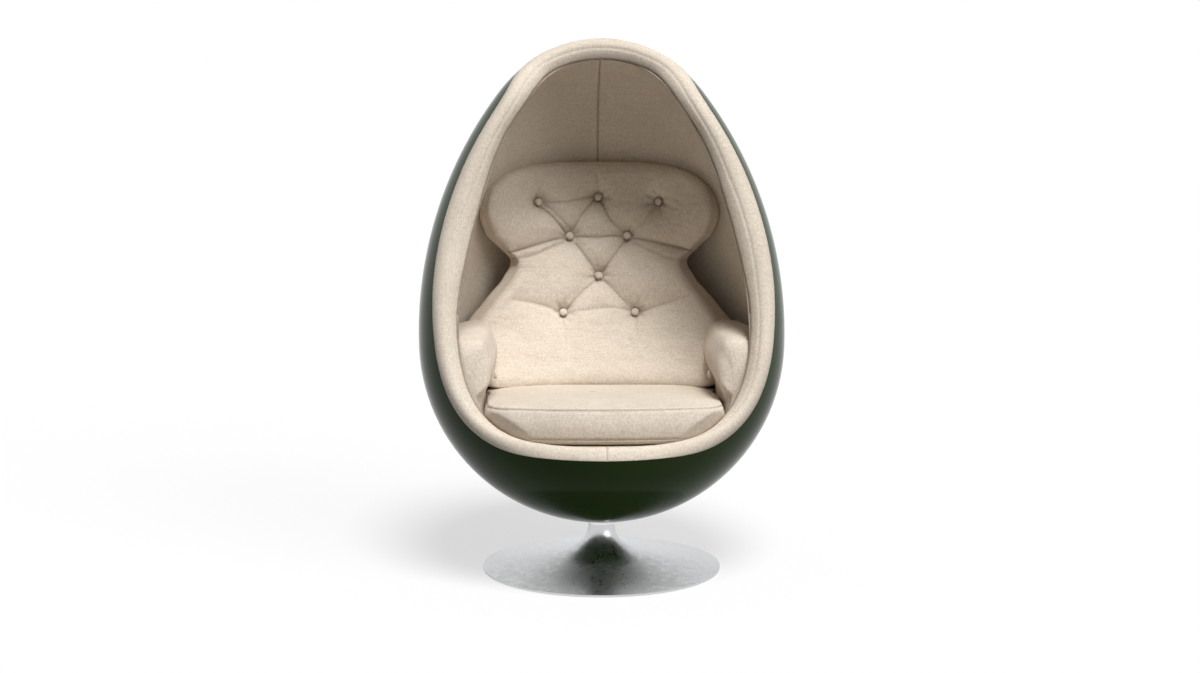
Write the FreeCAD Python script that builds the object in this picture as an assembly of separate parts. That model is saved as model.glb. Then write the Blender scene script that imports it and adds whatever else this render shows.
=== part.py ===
import FreeCAD, Part
import math
import os

V = FreeCAD.Vector

# A swivelling pod chair, in millimetres. +Z is up, the origin lies on the floor
# on the swivel axis, and the sitter faces -Y.

# Base, from the floor up
base_radius = 284.0
felt_thickness = 1.5
plate_thickness = 3.0
trumpet_sheet = 1.5
neck_radius = 31.0
neck_height = 108.0
flare_arcs = ((66.0, 50.0), (140.0, 27.0))
ballast_radius = 148.0
ballast_thickness = 9.0
edge_gap = 0.4

# Column and its flange
column_radius = 27.0
column_wall = 3.0
column_top = 86.0
flange_radius = 58.0
flange_thickness = 6.0
flange_screw_count = 6
flange_screw_circle = 43.0
flange_screw_radius = 2.5

# Bearing stack, a 30 mm cylindrical roller thrust bearing over plain bushes
shaft_radius = 15.0
shaft_clearance = 0.04
bearing_radius = 23.5
washer_height = 3.0
roller_radius = 2.5
roller_length = 6.0
roller_circle = 19.3
roller_count = 12
roller_clearance = 0.02
cage_height = 3.0
cage_half_width = 3.95
cage_play = 0.1
bearing_proud = 0.8
housing_top_drop = 1.8
bush_radius = 17.9
bush_length = 30.0
lower_bush_length = 24.0
lower_bush_bottom = 34.0
retaining_thickness = 3.0
retaining_radius = 20.0
retaining_screw_radius = 5.0
retaining_screw_length = 24.0
shoulder_radius = 22.5
collar_radius = 33.0
collar_height = 13.0
running_gap = 0.5

# Half size of the blocks that trim the pod's pieces, more than the shell's own
pod_reach = 640.0

# Moulded shell: an egg turned about its own leaning axis. Its outline is a chain
# of arcs, each a radius and a turn in degrees, from the bottom up; a last arc
# closes it at the top. Bottoms are measured from the shell's middle.
shell_arcs = ((429.4, 88.0), (932.0, 39.6))
shell_low = -565.5
shell_tilt = 6.0
shell_wall = 7.0

# Side view of the opening's edge, as distance forward and height from the
# middle of the shell
opening_edge = (
    (60.0, 612.0),
    (22.0, 562.0),
    (-13.0, 505.0),
    (-66.0, 440.0),
    (-93.0, 360.0),
    (-132.0, 180.0),
    (-173.0, 0.0),
    (-224.0, -175.0),
    (-273.0, -303.0),
    (-320.0, -343.0),
    (-384.0, -354.0),
    (-480.0, -368.0),
)

# Face of the padding inside the shell: thin over the head and under the seat,
# thick at the sides
padding_arcs = ((390.7, 43.6), (360.2, 52.9), (1491.6, 18.9), (313.4, 27.7))
padding_low = -523.5
cover_thickness = 3.0
glue_gap = 0.3
soft_gap = 0.6

# Foam is cut in flat strips: how far a strip's middle may stand off the arc.
# It is laid in panels, left and right, that meet at these heights.
strip_rise = 1.2
panel_joints = (0.0, 400.0, 640.0, 880.0, 1400.0)
panel_names = ("bowl", "hip", "shoulder", "hood")

# Padded roll round the opening
roll_bulge = 24.0
roll_gap = 1.3
roll_stations = 33

# Fixing of the shell
pad_radius = 120.0
pad_thickness = 15.0
swivel_plate_radius = 108.0
swivel_plate_thickness = 6.0
plate_bolt_count = 6
plate_bolt_circle = 80.0
bolt_radius = 4.0
bolt_head_height = 5.5
bolt_head_across = 13.0
bolt_length = 16.0
washer_radius = 8.0
washer_thickness = 1.6
insert_radius = 6.0
insert_length = 9.0
lining_hole_radius = 128.0
plate_well_radius = 126.0
plate_well_height = 22.0

# Seat
seat_drop = 330.0
seat_slope = 3.0
seat_front = 335.0
seat_back = 150.0
seat_half_width = 268.0
seat_boxing = 66.0
seat_crown = 17.0
seat_bow = 40.0

# Arm pads
arm_low_gap = 6.0
arm_height = 228.0
arm_inner = 250.0
arm_crest = 292.0
arm_front = 216.0
arm_back = 20.0
arm_back_lean = 22.0
arm_seat_gap = 16.0

# Back cushion: each row is height from the middle of the shell, half width,
# depth of the front at the centre, how far the edge comes forward, thickness
# at the centre and thickness at the edge
back_rows = (
    (-257.0, 282.0, 88.0, 50.0, 80.0, 44.0),
    (-247.0, 300.0, 84.0, 53.0, 98.0, 60.0),
    (-205.0, 320.0, 105.0, 62.0, 104.0, 70.0),
    (-136.0, 330.0, 146.0, 72.0, 104.0, 74.0),
    (-66.0, 284.0, 176.0, 64.0, 100.0, 74.0),
    (-6.0, 234.0, 197.0, 56.0, 98.0, 72.0),
    (30.0, 217.0, 208.0, 54.0, 96.0, 70.0),
    (64.0, 243.0, 218.0, 72.0, 98.0, 76.0),
    (104.0, 279.0, 229.0, 112.0, 97.0, 80.0),
    (159.0, 291.0, 242.0, 148.0, 93.0, 76.0),
    (204.0, 279.0, 250.0, 138.0, 76.0, 62.0),
    (239.0, 248.0, 256.0, 104.0, 60.0, 50.0),
    (261.0, 186.0, 262.0, 52.0, 46.0, 38.0),
    (270.0, 100.0, 268.0, 14.0, 30.0, 24.0),
)
back_foam_low_rows = (
    (-400.0, 276.0, 128.0, 12.0, 84.0, 60.0),
    (-253.0, 276.0, 128.0, 12.0, 84.0, 60.0),
)
back_foam_top = 104.0
back_foam_inset = 16.0

# Tufting: places of the back buttons, across and up from the middle of the
# shell, and of the arm buttons, along and up
back_button_places = (
    (-141.0, 177.0),
    (0.0, 187.0),
    (141.0, 177.0),
    (-68.0, 94.0),
    (68.0, 94.0),
    (0.0, -1.0),
    (-86.0, -87.0),
    (86.0, -87.0),
)
button_radius = 9.0
button_height = 6.0
tuft_depth = 20.0
tuft_radius = 36.0
tuft_floor = 11.0
arm_button_along = -90.0
arm_button_up = -206.0
arm_tuft_depth = 9.0
arm_tuft_radius = 24.0

# Heights that follow from the stack
plate_top = felt_thickness + plate_thickness
disc_top = plate_top + trumpet_sheet
housing_top = neck_height - housing_top_drop
bearing_top = housing_top - bearing_proud + 2 * bearing_proud
roller_lift = roller_radius + roller_clearance
bearing_height = 2 * washer_height + 2 * roller_lift
bearing_seat = bearing_top - bearing_height
collar_bottom = neck_height + running_gap
shell_bottom = collar_bottom + collar_height + glue_gap
pad_top = shell_bottom + shell_wall + pad_thickness + 6.5
swivel_plate_top = pad_top + swivel_plate_thickness


def wire(*edges):
    return Part.Wire(list(edges))


def spin(face, sweep=360):
    """Turns a face about Z into a solid whose faces look outwards."""
    body = face.revolve(V(0, 0, 0), V(0, 0, 1), sweep)
    if body.Volume < 0:
        body.reverse()
    return body


def arc_chain(arcs, low):
    """The egg's half outline as arcs: centre radius, centre height, radius, turn from and to."""
    chain = []
    r, z, angle = 0.0, low, 0.0
    for radius, turn in arcs:
        cr = r - radius * math.sin(angle)
        cz = z + radius * math.cos(angle)
        after = angle + math.radians(turn)
        chain.append((cr, cz, radius, angle, after))
        r = cr + radius * math.sin(after)
        z = cz - radius * math.cos(after)
        angle = after
    closing = r / math.sin(angle)
    chain.append((0.0, z + closing * math.cos(angle), closing, angle, math.pi))
    return chain


SHELL = arc_chain(shell_arcs, shell_low)
PADDING = arc_chain(padding_arcs, padding_low)


def chain_point(chain, angle, inset=0.0):
    """Radius and height where the outline's turn is angle, set in by inset."""
    for cr, cz, radius, start, end in chain:
        if angle <= end:
            break
    return cr + (radius - inset) * math.sin(angle), cz - (radius - inset) * math.cos(angle)


def chain_at_height(chain, height):
    """Radius and turn of the outline at a height, or None off its ends."""
    for cr, cz, radius, start, end in chain:
        low = cz - radius * math.cos(start)
        high = cz - radius * math.cos(end)
        if low <= height <= high:
            angle = math.acos((cz - height) / radius)
            return cr + radius * math.sin(angle), angle
    return None


def padding_depth(angle):
    """Distance from the shell's outside to the padding's face, square to the shell."""
    out_r, out_z = chain_point(SHELL, angle)
    in_r, in_z = chain_point(PADDING, angle)
    return (out_r - in_r) * math.sin(angle) - (out_z - in_z) * math.cos(angle)


def chord_turns(radius, start, end, rise):
    """Even turns along an arc, so that straight chords between them leave it by rise at most."""
    count = math.ceil((end - start) / (2 * math.acos(1 - rise / radius)))
    return [start + (end - start) * k / count for k in range(count + 1)]


def egg_edges(chain, inset, rise=0.0):
    """The half outline, set in by inset, in the XZ plane from the bottom up: arcs, or chords of them."""
    edges = []
    for cr, cz, radius, start, end in chain:
        size = radius - inset
        turns = chord_turns(radius, start, end, rise) if rise else (start, (start + end) / 2, end)
        spots = [V(max(0.0, cr + size * math.sin(t)), 0, cz - size * math.cos(t)) for t in turns]
        if rise:
            edges += [Part.makeLine(p, q) for p, q in zip(spots, spots[1:])]
        else:
            edges.append(arc(*spots))
    return edges


def lean(shape):
    """Moves a shape from the egg's upright frame to its place in the chair."""
    shape.rotate(V(0, 0, 0), V(1, 0, 0), -shell_tilt)
    shape.translate(V(0, 0, shell_middle))
    return shape


def edge_ends(edges):
    return edges[0].valueAt(edges[0].FirstParameter), edges[-1].valueAt(edges[-1].LastParameter)


def egg_solid(chain, inset, rise=0.0):
    edges = egg_edges(chain, inset, rise)
    low, high = edge_ends(edges)
    low, high = V(0, 0, low.z), V(0, 0, high.z)
    return lean(spin(Part.Face(Part.Wire(edges + [Part.makeLine(high, low)]))))


def egg_layer(outer, inner, start, sweep):
    """A skin between two outlines, each given as for egg_edges, turned from the angle start."""
    out_edges = egg_edges(*outer)
    in_edges = egg_edges(*inner)
    out_low, out_high = edge_ends(out_edges)
    in_low, in_high = edge_ends(in_edges)
    sides = [Part.makeLine(out_high, in_high), Part.makeLine(in_low, out_low)]
    face = Part.Face(Part.Wire(Part.__sortEdges__(out_edges + in_edges + sides)))
    face.rotate(V(0, 0, 0), V(0, 0, 1), start)
    return lean(spin(face, sweep))


def underside_drop():
    """Depth of the shell's outside below its middle, on the swivel axis."""
    turn = math.radians(shell_tilt)
    low, high = 0.0, 0.5
    for _ in range(60):
        angle = (low + high) / 2
        r, z = chain_point(SHELL, angle)
        if r * math.cos(turn) + z * math.sin(turn) < 0:
            low = angle
        else:
            high = angle
    r, z = chain_point(SHELL, low)
    return r * math.sin(turn) - z * math.cos(turn)


shell_middle = shell_bottom + underside_drop()


def arc(a, b, c):
    return Part.Arc(a, b, c).toShape()


def disc(radius, low, high, x=0.0, y=0.0):
    return Part.makeCylinder(radius, high - low, V(x, y, low))


def ring(outer, inner, low, high):
    return disc(outer, low, high).cut(disc(inner, low - 1, high + 1))


def around(count, radius, turn=0.0):
    places = []
    for k in range(count):
        angle = 2 * math.pi * k / count + math.radians(turn)
        places.append((radius * math.cos(angle), radius * math.sin(angle)))
    return places


def group(solids):
    return solids[0] if len(solids) == 1 else Part.makeCompound(solids)


def turned(points):
    """A solid turned about Z from a closed outline of (radius, height) points."""
    corners = [V(r, 0, z) for r, z in points]
    corners.append(corners[0])
    return spin(Part.Face(Part.makePolygon(corners)))


def hexagon(across, low, high, x, y):
    corner = across / math.sqrt(3)
    points = [V(x + px, y + py, low) for px, py in around(6, corner)]
    points.append(points[0])
    return Part.Face(Part.makePolygon(points)).extrude(V(0, 0, high - low))


# Side view of the opening
def opening_curve():
    curve = Part.BSplineCurve()
    curve.interpolate(Points=[V(0, y, shell_middle + up) for y, up in opening_edge])
    return curve


OPENING = opening_curve()
OPENING_LENGTH = OPENING.length()


def on_opening(s):
    """Point of the opening's side view at the distance s along it, from the top end."""
    return OPENING.value(OPENING.parameterAtDistance(s, OPENING.FirstParameter))


def opening_half_width(s):
    """Half width of the shell where the opening's edge passes at s, or -1 off the shell."""
    p = on_opening(s)
    turn = math.radians(shell_tilt)
    height = p.z - shell_middle
    across = p.y * math.cos(turn) - height * math.sin(turn)
    along = p.y * math.sin(turn) + height * math.cos(turn)
    found = chain_at_height(SHELL, along)
    if found is None:
        return -1.0, 0.0
    r, angle = found
    if r <= abs(across):
        return -1.0, angle
    return math.sqrt(r * r - across * across), angle


def edge_limit(inside, outside):
    for _ in range(60):
        s = (inside + outside) / 2
        if opening_half_width(s)[0] < 0:
            outside = s
        else:
            inside = s
    return inside


def roll_stations_at():
    """Even stations up one side of the opening: distance along it, half width and shell angle."""
    middle = OPENING_LENGTH / 2
    top = edge_limit(middle, 0.0)
    foot = edge_limit(middle, OPENING_LENGTH)
    fine = []
    count = 600
    for k in range(count + 1):
        s = foot + (top - foot) * (1 - math.cos(math.pi * k / count)) / 2
        x, phi = opening_half_width(s)
        fine.append((s, max(0.0, x), phi))
    fine[0] = (foot, 0.0, fine[1][2])
    fine[-1] = (top, 0.0, fine[-2][2])
    run = [0.0]
    for a, b in zip(fine, fine[1:]):
        run.append(run[-1] + math.hypot(b[0] - a[0], b[1] - a[1]))
    stations = []
    for k in range(roll_stations):
        want = run[-1] * k / (roll_stations - 1)
        j = max(1, min(count, next((i for i, d in enumerate(run) if d >= want - 1e-9), count)))
        share = (want - run[j - 1]) / max(1e-9, run[j] - run[j - 1])
        a, b = fine[j - 1], fine[j]
        mix = [a[i] + (b[i] - a[i]) * share for i in range(3)]
        slope = (b[1] - a[1], b[0] - a[0])
        if k == 0:
            slope = (1.0, 0.0)
        if k == roll_stations - 1:
            slope = (-1.0, 0.0)
        stations.append((mix, slope))
    return stations


def shell_inward(angle, x, across):
    """Inward normal of the shell's outside in the chair's frame."""
    size = math.hypot(x, across)
    turn = math.radians(shell_tilt)
    lx = -math.sin(angle) * x / size
    ly = -math.sin(angle) * across / size
    up = math.cos(angle)
    return V(lx, ly * math.cos(turn) + up * math.sin(turn), up * math.cos(turn) - ly * math.sin(turn))


def roll_section(station, side):
    """One cross-section of the padded roll: a flat back on the cut edges, a round front."""
    (s, x, phi), (dx, ds) = station
    size = math.hypot(dx, ds)
    dx, ds = dx / size, ds / size
    inward_x, inward_s = ds, -dx
    turn = math.radians(shell_tilt)
    outer = on_opening(s)
    across = outer.y * math.cos(turn) - (outer.z - shell_middle) * math.sin(turn)
    outer = V(x, outer.y, outer.z)
    nearby = on_opening(s + inward_s)
    along = V(inward_x, nearby.y - outer.y, nearby.z - outer.z)
    square = max(0.6, along.dot(shell_inward(phi, x, across)) / along.Length)
    width = padding_depth(phi) / square
    inner_side = on_opening(s + inward_s * width)
    inner = V(x + inward_x * width, inner_side.y, inner_side.z)
    e1 = (inner - outer).normalize()
    tangent = on_opening(s + inward_s * width / 2 + 1) - on_opening(s + inward_s * width / 2 - 1)
    front = V(0, tangent.z, -tangent.y)
    if front.y > 0:
        front = front * -1
    e2 = (front - e1 * front.dot(e1)).normalize()
    back = 0.0
    for k in range(1, 8):
        q = on_opening(s + inward_s * width * k / 8)
        probe = V(x + inward_x * width * k / 8, q.y, q.z)
        back = max(back, (probe - outer).dot(e2))
    back += roll_gap
    chord = (inner - outer).Length
    start, end = 0.4, chord - 0.4
    crest = min(start + roll_bulge, start + 0.5 * (end - start))

    def place(p, q):
        point = outer + e1 * p + e2 * (back + q)
        return V(point.x * side, point.y, point.z)

    outer_r = ((crest - start) ** 2 + roll_bulge ** 2) / (2 * roll_bulge)
    inner_r = ((end - crest) ** 2 + roll_bulge ** 2) / (2 * roll_bulge)
    outer_half = math.atan2(crest - start, roll_bulge - outer_r) / 2
    inner_half = math.asin(min(1.0, (end - crest) / inner_r)) / 2
    mid_out = (crest - outer_r * math.sin(outer_half), roll_bulge - outer_r * (1 - math.cos(outer_half)))
    mid_in = (crest + inner_r * math.sin(inner_half), roll_bulge - inner_r * (1 - math.cos(inner_half)))
    p0, p1, p2 = place(start, 0), place(crest, roll_bulge), place(end, 0)
    return wire(
        arc(p0, place(*mid_out), p1),
        arc(p1, place(*mid_in), p2),
        Part.makeLine(p2, p0),
    )


# Base pieces
def floor_felt():
    return disc(base_radius - trumpet_sheet - edge_gap - 4, 0, felt_thickness)


def flange_screw_places():
    return around(flange_screw_count, flange_screw_circle)


def base_plate():
    plate = disc(base_radius - trumpet_sheet - edge_gap, felt_thickness, plate_top)
    for x, y in flange_screw_places():
        plate = plate.cut(disc(flange_screw_radius + 0.1, 0, plate_top + 1, x, y))
        cone = Part.makeCone(2 * flange_screw_radius + 0.1, flange_screw_radius + 0.1, 2.6, V(x, y, felt_thickness))
        plate = plate.cut(cone)
    return plate


def flare_spans():
    """The trumpet's hollow outline as arcs: centre, radius, turn from and to; the last meets the rim."""
    spans = []
    r, z, turn = neck_radius, neck_height, 0.0
    for radius, sweep in flare_arcs:
        cr, cz = r + radius * math.cos(turn), z + radius * math.sin(turn)
        after = turn + math.radians(sweep)
        spans.append((cr, cz, radius, turn, after))
        r, z, turn = cr - radius * math.cos(after), cz - radius * math.sin(after), after
    out, down = base_radius - r, z - disc_top
    half = math.atan2(out, down) - turn
    radius = math.hypot(out, down) / (2 * math.sin(half))
    cr, cz = r + radius * math.cos(turn), z + radius * math.sin(turn)
    spans.append((cr, cz, radius, turn, turn + 2 * half))
    return spans


def flare_edges(offset, reach, rise=0.0):
    """The flare, moved down square to the sheet by offset, to the radius reach: arcs, or chords of them."""
    edges = []
    for cr, cz, radius, start, end in flare_spans():
        size = radius + offset
        if cr - size < reach < cr:
            end = min(end, math.acos((cr - reach) / size))
        turns = chord_turns(radius, start, end, rise) if rise else (start, (start + end) / 2, end)
        spots = [V(cr - size * math.cos(t), 0, cz - size * math.sin(t)) for t in turns]
        if rise:
            edges += [Part.makeLine(p, q) for p, q in zip(spots, spots[1:])]
        else:
            edges.append(arc(*spots))
    return edges


def base_trumpet():
    lip = base_radius - trumpet_sheet
    top = flare_edges(0.0, base_radius)
    under = flare_edges(trumpet_sheet, lip, 0.3)
    neck_out, rim_out = edge_ends(top)
    neck_in, lip_in = edge_ends(under)
    curl = edge_gap + felt_thickness
    rim_low = V(base_radius, 0, curl)
    lip_low = V(lip, 0, curl)
    closing = [
        Part.makeLine(rim_out, rim_low),
        Part.makeLine(rim_low, lip_low),
        Part.makeLine(lip_low, lip_in),
        Part.makeLine(neck_in, neck_out),
    ]
    return spin(Part.Face(Part.Wire(Part.__sortEdges__(top + under + closing))))


def ballast_disc():
    return ring(ballast_radius, flange_radius + 2, plate_top, plate_top + ballast_thickness)


def column_flange():
    flange = ring(flange_radius, column_radius, plate_top, plate_top + flange_thickness)
    for x, y in flange_screw_places():
        flange = flange.cut(disc(flange_screw_radius, 0, plate_top + flange_thickness + 1, x, y))
    return flange


def flange_screws():
    screws = []
    for x, y in flange_screw_places():
        head = Part.makeCone(2 * flange_screw_radius, flange_screw_radius, 2.5, V(x, y, felt_thickness + 0.05))
        shank = disc(flange_screw_radius - 0.02, felt_thickness + 1, plate_top + flange_thickness - 0.5, x, y)
        screws.append(head.fuse(shank).removeSplitter())
    return group(screws)


def column_tube():
    return ring(column_radius, column_radius - column_wall, plate_top, column_top)


def bearing_housing():
    spigot = column_radius - column_wall - 0.02
    foot = column_top - 22
    return turned([
        (bush_radius + 0.05, foot),
        (spigot, foot),
        (spigot, column_top),
        (column_radius, column_top),
        (column_radius, housing_top),
        (bearing_radius + 0.2, housing_top),
        (bearing_radius + 0.2, bearing_seat),
        (shaft_radius + 1.2, bearing_seat),
        (shaft_radius + 1.2, bearing_seat - 2.5),
        (bush_radius + 0.05, bearing_seat - 2.5),
    ])


def upper_bush():
    top = bearing_seat - 2.5
    return ring(bush_radius, shaft_radius + shaft_clearance, top - bush_length, top)


def lower_bush():
    outer = column_radius - column_wall - 0.02
    return ring(outer, shaft_radius + shaft_clearance, lower_bush_bottom, lower_bush_bottom + lower_bush_length)


def neck_sleeve():
    return ring(neck_radius - trumpet_sheet - 0.1, column_radius + 0.1, neck_height - 12, neck_height)


# Thrust bearing
def roller_height():
    return bearing_seat + washer_height + roller_lift


def bearing_lower_washer():
    return ring(bearing_radius, shaft_radius + 1.0, bearing_seat, bearing_seat + washer_height)


def bearing_upper_washer():
    low = bearing_top - washer_height
    return ring(bearing_radius - 0.2, shaft_radius + shaft_clearance, low, bearing_top)


def bearing_cage():
    low = roller_height() - cage_height / 2
    cage = ring(roller_circle + cage_half_width, roller_circle - cage_half_width, low, low + cage_height)
    length, width = roller_length + 2 * cage_play, 2 * (roller_radius + cage_play)
    pocket = Part.makeBox(length, width, cage_height + 2, V(roller_circle - length / 2, -width / 2, low - 1))
    for k in range(roller_count):
        cage = cage.cut(pocket.rotated(V(0, 0, 0), V(0, 0, 1), 360.0 * k / roller_count))
    return cage


def bearing_rollers():
    start = V(roller_circle - roller_length / 2, 0, roller_height())
    roller = Part.makeCylinder(roller_radius, roller_length, start, V(1, 0, 0))
    turns = [360.0 * k / roller_count for k in range(roller_count)]
    return group([roller.rotated(V(0, 0, 0), V(0, 0, 1), turn) for turn in turns])


# Turning pieces below the shell
def spindle():
    foot = lower_bush_bottom - 0.3
    body = disc(shaft_radius, foot, bearing_top)
    body = body.fuse(disc(shoulder_radius, bearing_top, pad_top))
    body = body.fuse(disc(shaft_radius, pad_top, swivel_plate_top))
    hole = disc(retaining_screw_radius, foot - 1, foot + retaining_screw_length + 2)
    return body.cut(hole).removeSplitter()


def retaining_washer():
    top = lower_bush_bottom - 0.3
    return ring(retaining_radius, retaining_screw_radius + 0.3, top - retaining_thickness, top)


def retaining_screw():
    seat = lower_bush_bottom - 0.3 - retaining_thickness
    head = hexagon(17.0, seat - 6.4, seat, 0, 0)
    shank = disc(retaining_screw_radius - 0.02, seat - 1, seat + retaining_thickness + retaining_screw_length)
    return head.fuse(shank).removeSplitter()


def collar_ring():
    body = ring(collar_radius, shoulder_radius + 0.1, collar_bottom, shell_bottom + 8)
    return body.cut(egg_solid(SHELL, -glue_gap))


def swivel_plate():
    plate = ring(swivel_plate_radius, shaft_radius + 0.02, pad_top, swivel_plate_top)
    for x, y in around(plate_bolt_count, plate_bolt_circle):
        plate = plate.cut(disc(bolt_radius + 0.5, pad_top - 1, swivel_plate_top + 1, x, y))
    return plate


def plate_washers():
    solids = []
    for x, y in around(plate_bolt_count, plate_bolt_circle):
        body = disc(washer_radius, swivel_plate_top, swivel_plate_top + washer_thickness, x, y)
        solids.append(body.cut(disc(bolt_radius + 0.3, 0, swivel_plate_top + 9, x, y)))
    return group(solids)


def plate_bolts():
    solids = []
    seat = swivel_plate_top + washer_thickness
    for x, y in around(plate_bolt_count, plate_bolt_circle):
        head = hexagon(bolt_head_across, seat, seat + bolt_head_height, x, y)
        shank = disc(bolt_radius - 0.02, seat - bolt_length, seat + 1, x, y)
        solids.append(head.fuse(shank).removeSplitter())
    return group(solids)


def threaded_inserts():
    solids = []
    for x, y in around(plate_bolt_count, plate_bolt_circle):
        body = disc(insert_radius, pad_top - insert_length, pad_top, x, y)
        solids.append(body.cut(disc(bolt_radius, pad_top - insert_length - 1, pad_top + 1, x, y)))
    return group(solids)


def mounting_pad():
    body = disc(pad_radius, shell_bottom - 5, pad_top)
    body = body.common(egg_solid(SHELL, shell_wall + glue_gap, strip_rise))
    body = body.cut(disc(shoulder_radius + 1.5, 0, pad_top + 1))
    for x, y in around(plate_bolt_count, plate_bolt_circle):
        body = body.cut(disc(insert_radius + 0.02, pad_top - insert_length - 0.1, pad_top + 1, x, y))
    return body


# The pod
def opening_tool():
    """Everything in front of the opening's edge."""
    reach = pod_reach
    top = on_opening(0)
    foot = on_opening(OPENING_LENGTH)
    far = -pod_reach - 300
    high = shell_middle + 2 * pod_reach
    edge = OPENING.toShape()
    face = Part.Face(wire(
        edge,
        Part.makeLine(foot, V(0, far, foot.z)),
        Part.makeLine(V(0, far, foot.z), V(0, far, high)),
        Part.makeLine(V(0, far, high), V(0, top.y, high)),
        Part.makeLine(V(0, top.y, high), top),
    ))
    face.translate(V(-reach, 0, 0))
    return face.extrude(V(2 * reach, 0, 0))


def pod_shell():
    body = egg_layer((SHELL, 0.0), (SHELL, shell_wall), -90, 360)
    body = body.cut(OPENING_TOOL)
    return body.cut(disc(shoulder_radius + 1.5, 0, shell_bottom + 40))


def lining_hole():
    return disc(lining_hole_radius, 0, pad_top + 60)


def foam_lining():
    outside = (SHELL, shell_wall + glue_gap, strip_rise)
    inside = (PADDING, -cover_thickness - glue_gap, strip_rise)
    body = egg_layer(outside, inside, -90, 360)
    body = body.cut(OPENING_TOOL)
    return body.cut(lining_hole())


def foam_panel(side, low, high):
    """One panel of the foam lining, on the side of +X or -X, between two heights."""
    start = V(glue_gap / 2 if side > 0 else -pod_reach, -pod_reach, low + glue_gap / 2)
    block = Part.makeBox(pod_reach - glue_gap / 2, 2 * pod_reach, high - low - glue_gap, start)
    return FOAM.common(block)


def lining_cover(start):
    body = egg_layer((PADDING, -cover_thickness, strip_rise), (PADDING, 0.0, strip_rise), start, 180)
    body = body.cut(OPENING_TOOL)
    return body.cut(lining_hole())


def rim_roll():
    stations = roll_stations_at()
    right = [roll_section(station, 1) for station in stations]
    left = [roll_section(station, -1) for station in stations[1:-1]]
    sections = right + left[::-1]
    return Part.makeLoft(sections, True, True, True)


def seat_plane(y):
    """Height of the seat foam's top face at y."""
    return shell_middle - seat_drop - (y + seat_front) * math.tan(math.radians(seat_slope))


def below_seat(extra, low=0.0):
    """Everything under the sloping seat plane, raised by extra."""
    front, back = -pod_reach, pod_reach
    points = [
        V(0, front, low),
        V(0, back, low),
        V(0, back, seat_plane(back) + extra),
        V(0, front, seat_plane(front) + extra),
    ]
    points.append(points[0])
    face = Part.Face(Part.makePolygon(points))
    face.translate(V(-pod_reach, 0, 0))
    return face.extrude(V(2 * pod_reach, 0, 0))


def seat_base_foam():
    body = ROOM.common(below_seat(0.0))
    front = Part.makeBox(1200, 600, 1200, V(-600, -seat_front - 3 - 600, 0))
    body = body.cut(front).cut(OPENING_TOOL)
    return body.cut(disc(plate_well_radius, 0, pad_top + plate_well_height))


def seat_outline(inset, height):
    """Plan outline of the seat cushion, drawn in by inset, at a height over its underside."""
    sx = 1 - inset / seat_half_width
    depth = (seat_front + seat_back) / 2
    middle = (seat_back - seat_front) / 2
    sy = 1 - inset / depth

    def spot(x, y):
        return V(x * sx, middle + (y - middle) * sy, height)

    w = seat_half_width
    f = -seat_front
    b = seat_back
    bow = seat_bow
    marks = [
        (0.78 * w, f + bow * 0.75),
        (0.95 * w, f + bow * 1.5),
        (w, f + bow * 3),
        (0.97 * w, b - 150),
        (0.9 * w, b - 62),
        (0.72 * w, b - 24),
    ]
    right = [spot(x, y) for x, y in marks]
    left = [spot(-x, y) for x, y in marks]
    return wire(
        arc(left[0], spot(0, f), right[0]),
        arc(right[0], right[1], right[2]),
        Part.makeLine(right[2], right[3]),
        arc(right[3], right[4], right[5]),
        arc(right[5], spot(0, b), left[5]),
        arc(left[5], left[4], left[3]),
        Part.makeLine(left[3], left[2]),
        arc(left[2], left[1], left[0]),
    )


def seat_cushion():
    low_seam = 14.0
    high_seam = low_seam + seat_boxing
    levels = (
        (29.0, 0.0),
        (0.0, low_seam),
        (-4.0, (low_seam + high_seam) / 2),
        (0.0, high_seam),
        (18.0, high_seam + seat_crown * 0.45),
        (60.0, high_seam + seat_crown * 0.8),
        (130.0, high_seam + seat_crown),
    )
    body = Part.makeLoft([seat_outline(inset, height) for inset, height in levels], True, True)
    body.translate(V(0, seat_front, 0))
    body.rotate(V(0, 0, 0), V(1, 0, 0), -seat_slope)
    body.translate(V(0, -seat_front, seat_plane(-seat_front) + soft_gap / 2))
    return body.common(ROOM)


def back_corners(row, gap=0.0, inset=0.0):
    up, half, front, advance, thick, edge = row
    z = shell_middle + up
    half = half - inset
    tuck = 0.28 * edge
    near = front - advance
    return {
        "z": z,
        "front": V(0, front, z),
        "front_right": V(half - tuck, near, z),
        "cap": V(half, near + edge / 2, z),
        "rear_right": V(half - tuck, near + edge + gap, z),
        "rear": V(0, front + thick + gap, z),
    }


def mirror(point):
    return V(-point.x, point.y, point.z)


def back_section(row):
    c = back_corners(row)
    return wire(
        arc(mirror(c["front_right"]), c["front"], c["front_right"]),
        arc(c["front_right"], c["cap"], c["rear_right"]),
        arc(c["rear_right"], c["rear"], mirror(c["rear_right"])),
        arc(mirror(c["rear_right"]), mirror(c["cap"]), mirror(c["front_right"])),
    )


def front_depth(x, up):
    """Depth of the back cushion's front face at a place across and up."""
    low = back_rows[0]
    for high in back_rows[1:]:
        if high[0] >= up:
            break
        low = high
    share = (up - low[0]) / (high[0] - low[0])
    row = [a + (b - a) * share for a, b in zip(low, high)]
    c = back_corners(row)
    reach = c["front_right"].x
    sag = c["front"].y - c["front_right"].y
    radius = (reach * reach + sag * sag) / (2 * sag)
    return c["front"].y - radius + math.sqrt(radius * radius - x * x)


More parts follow.
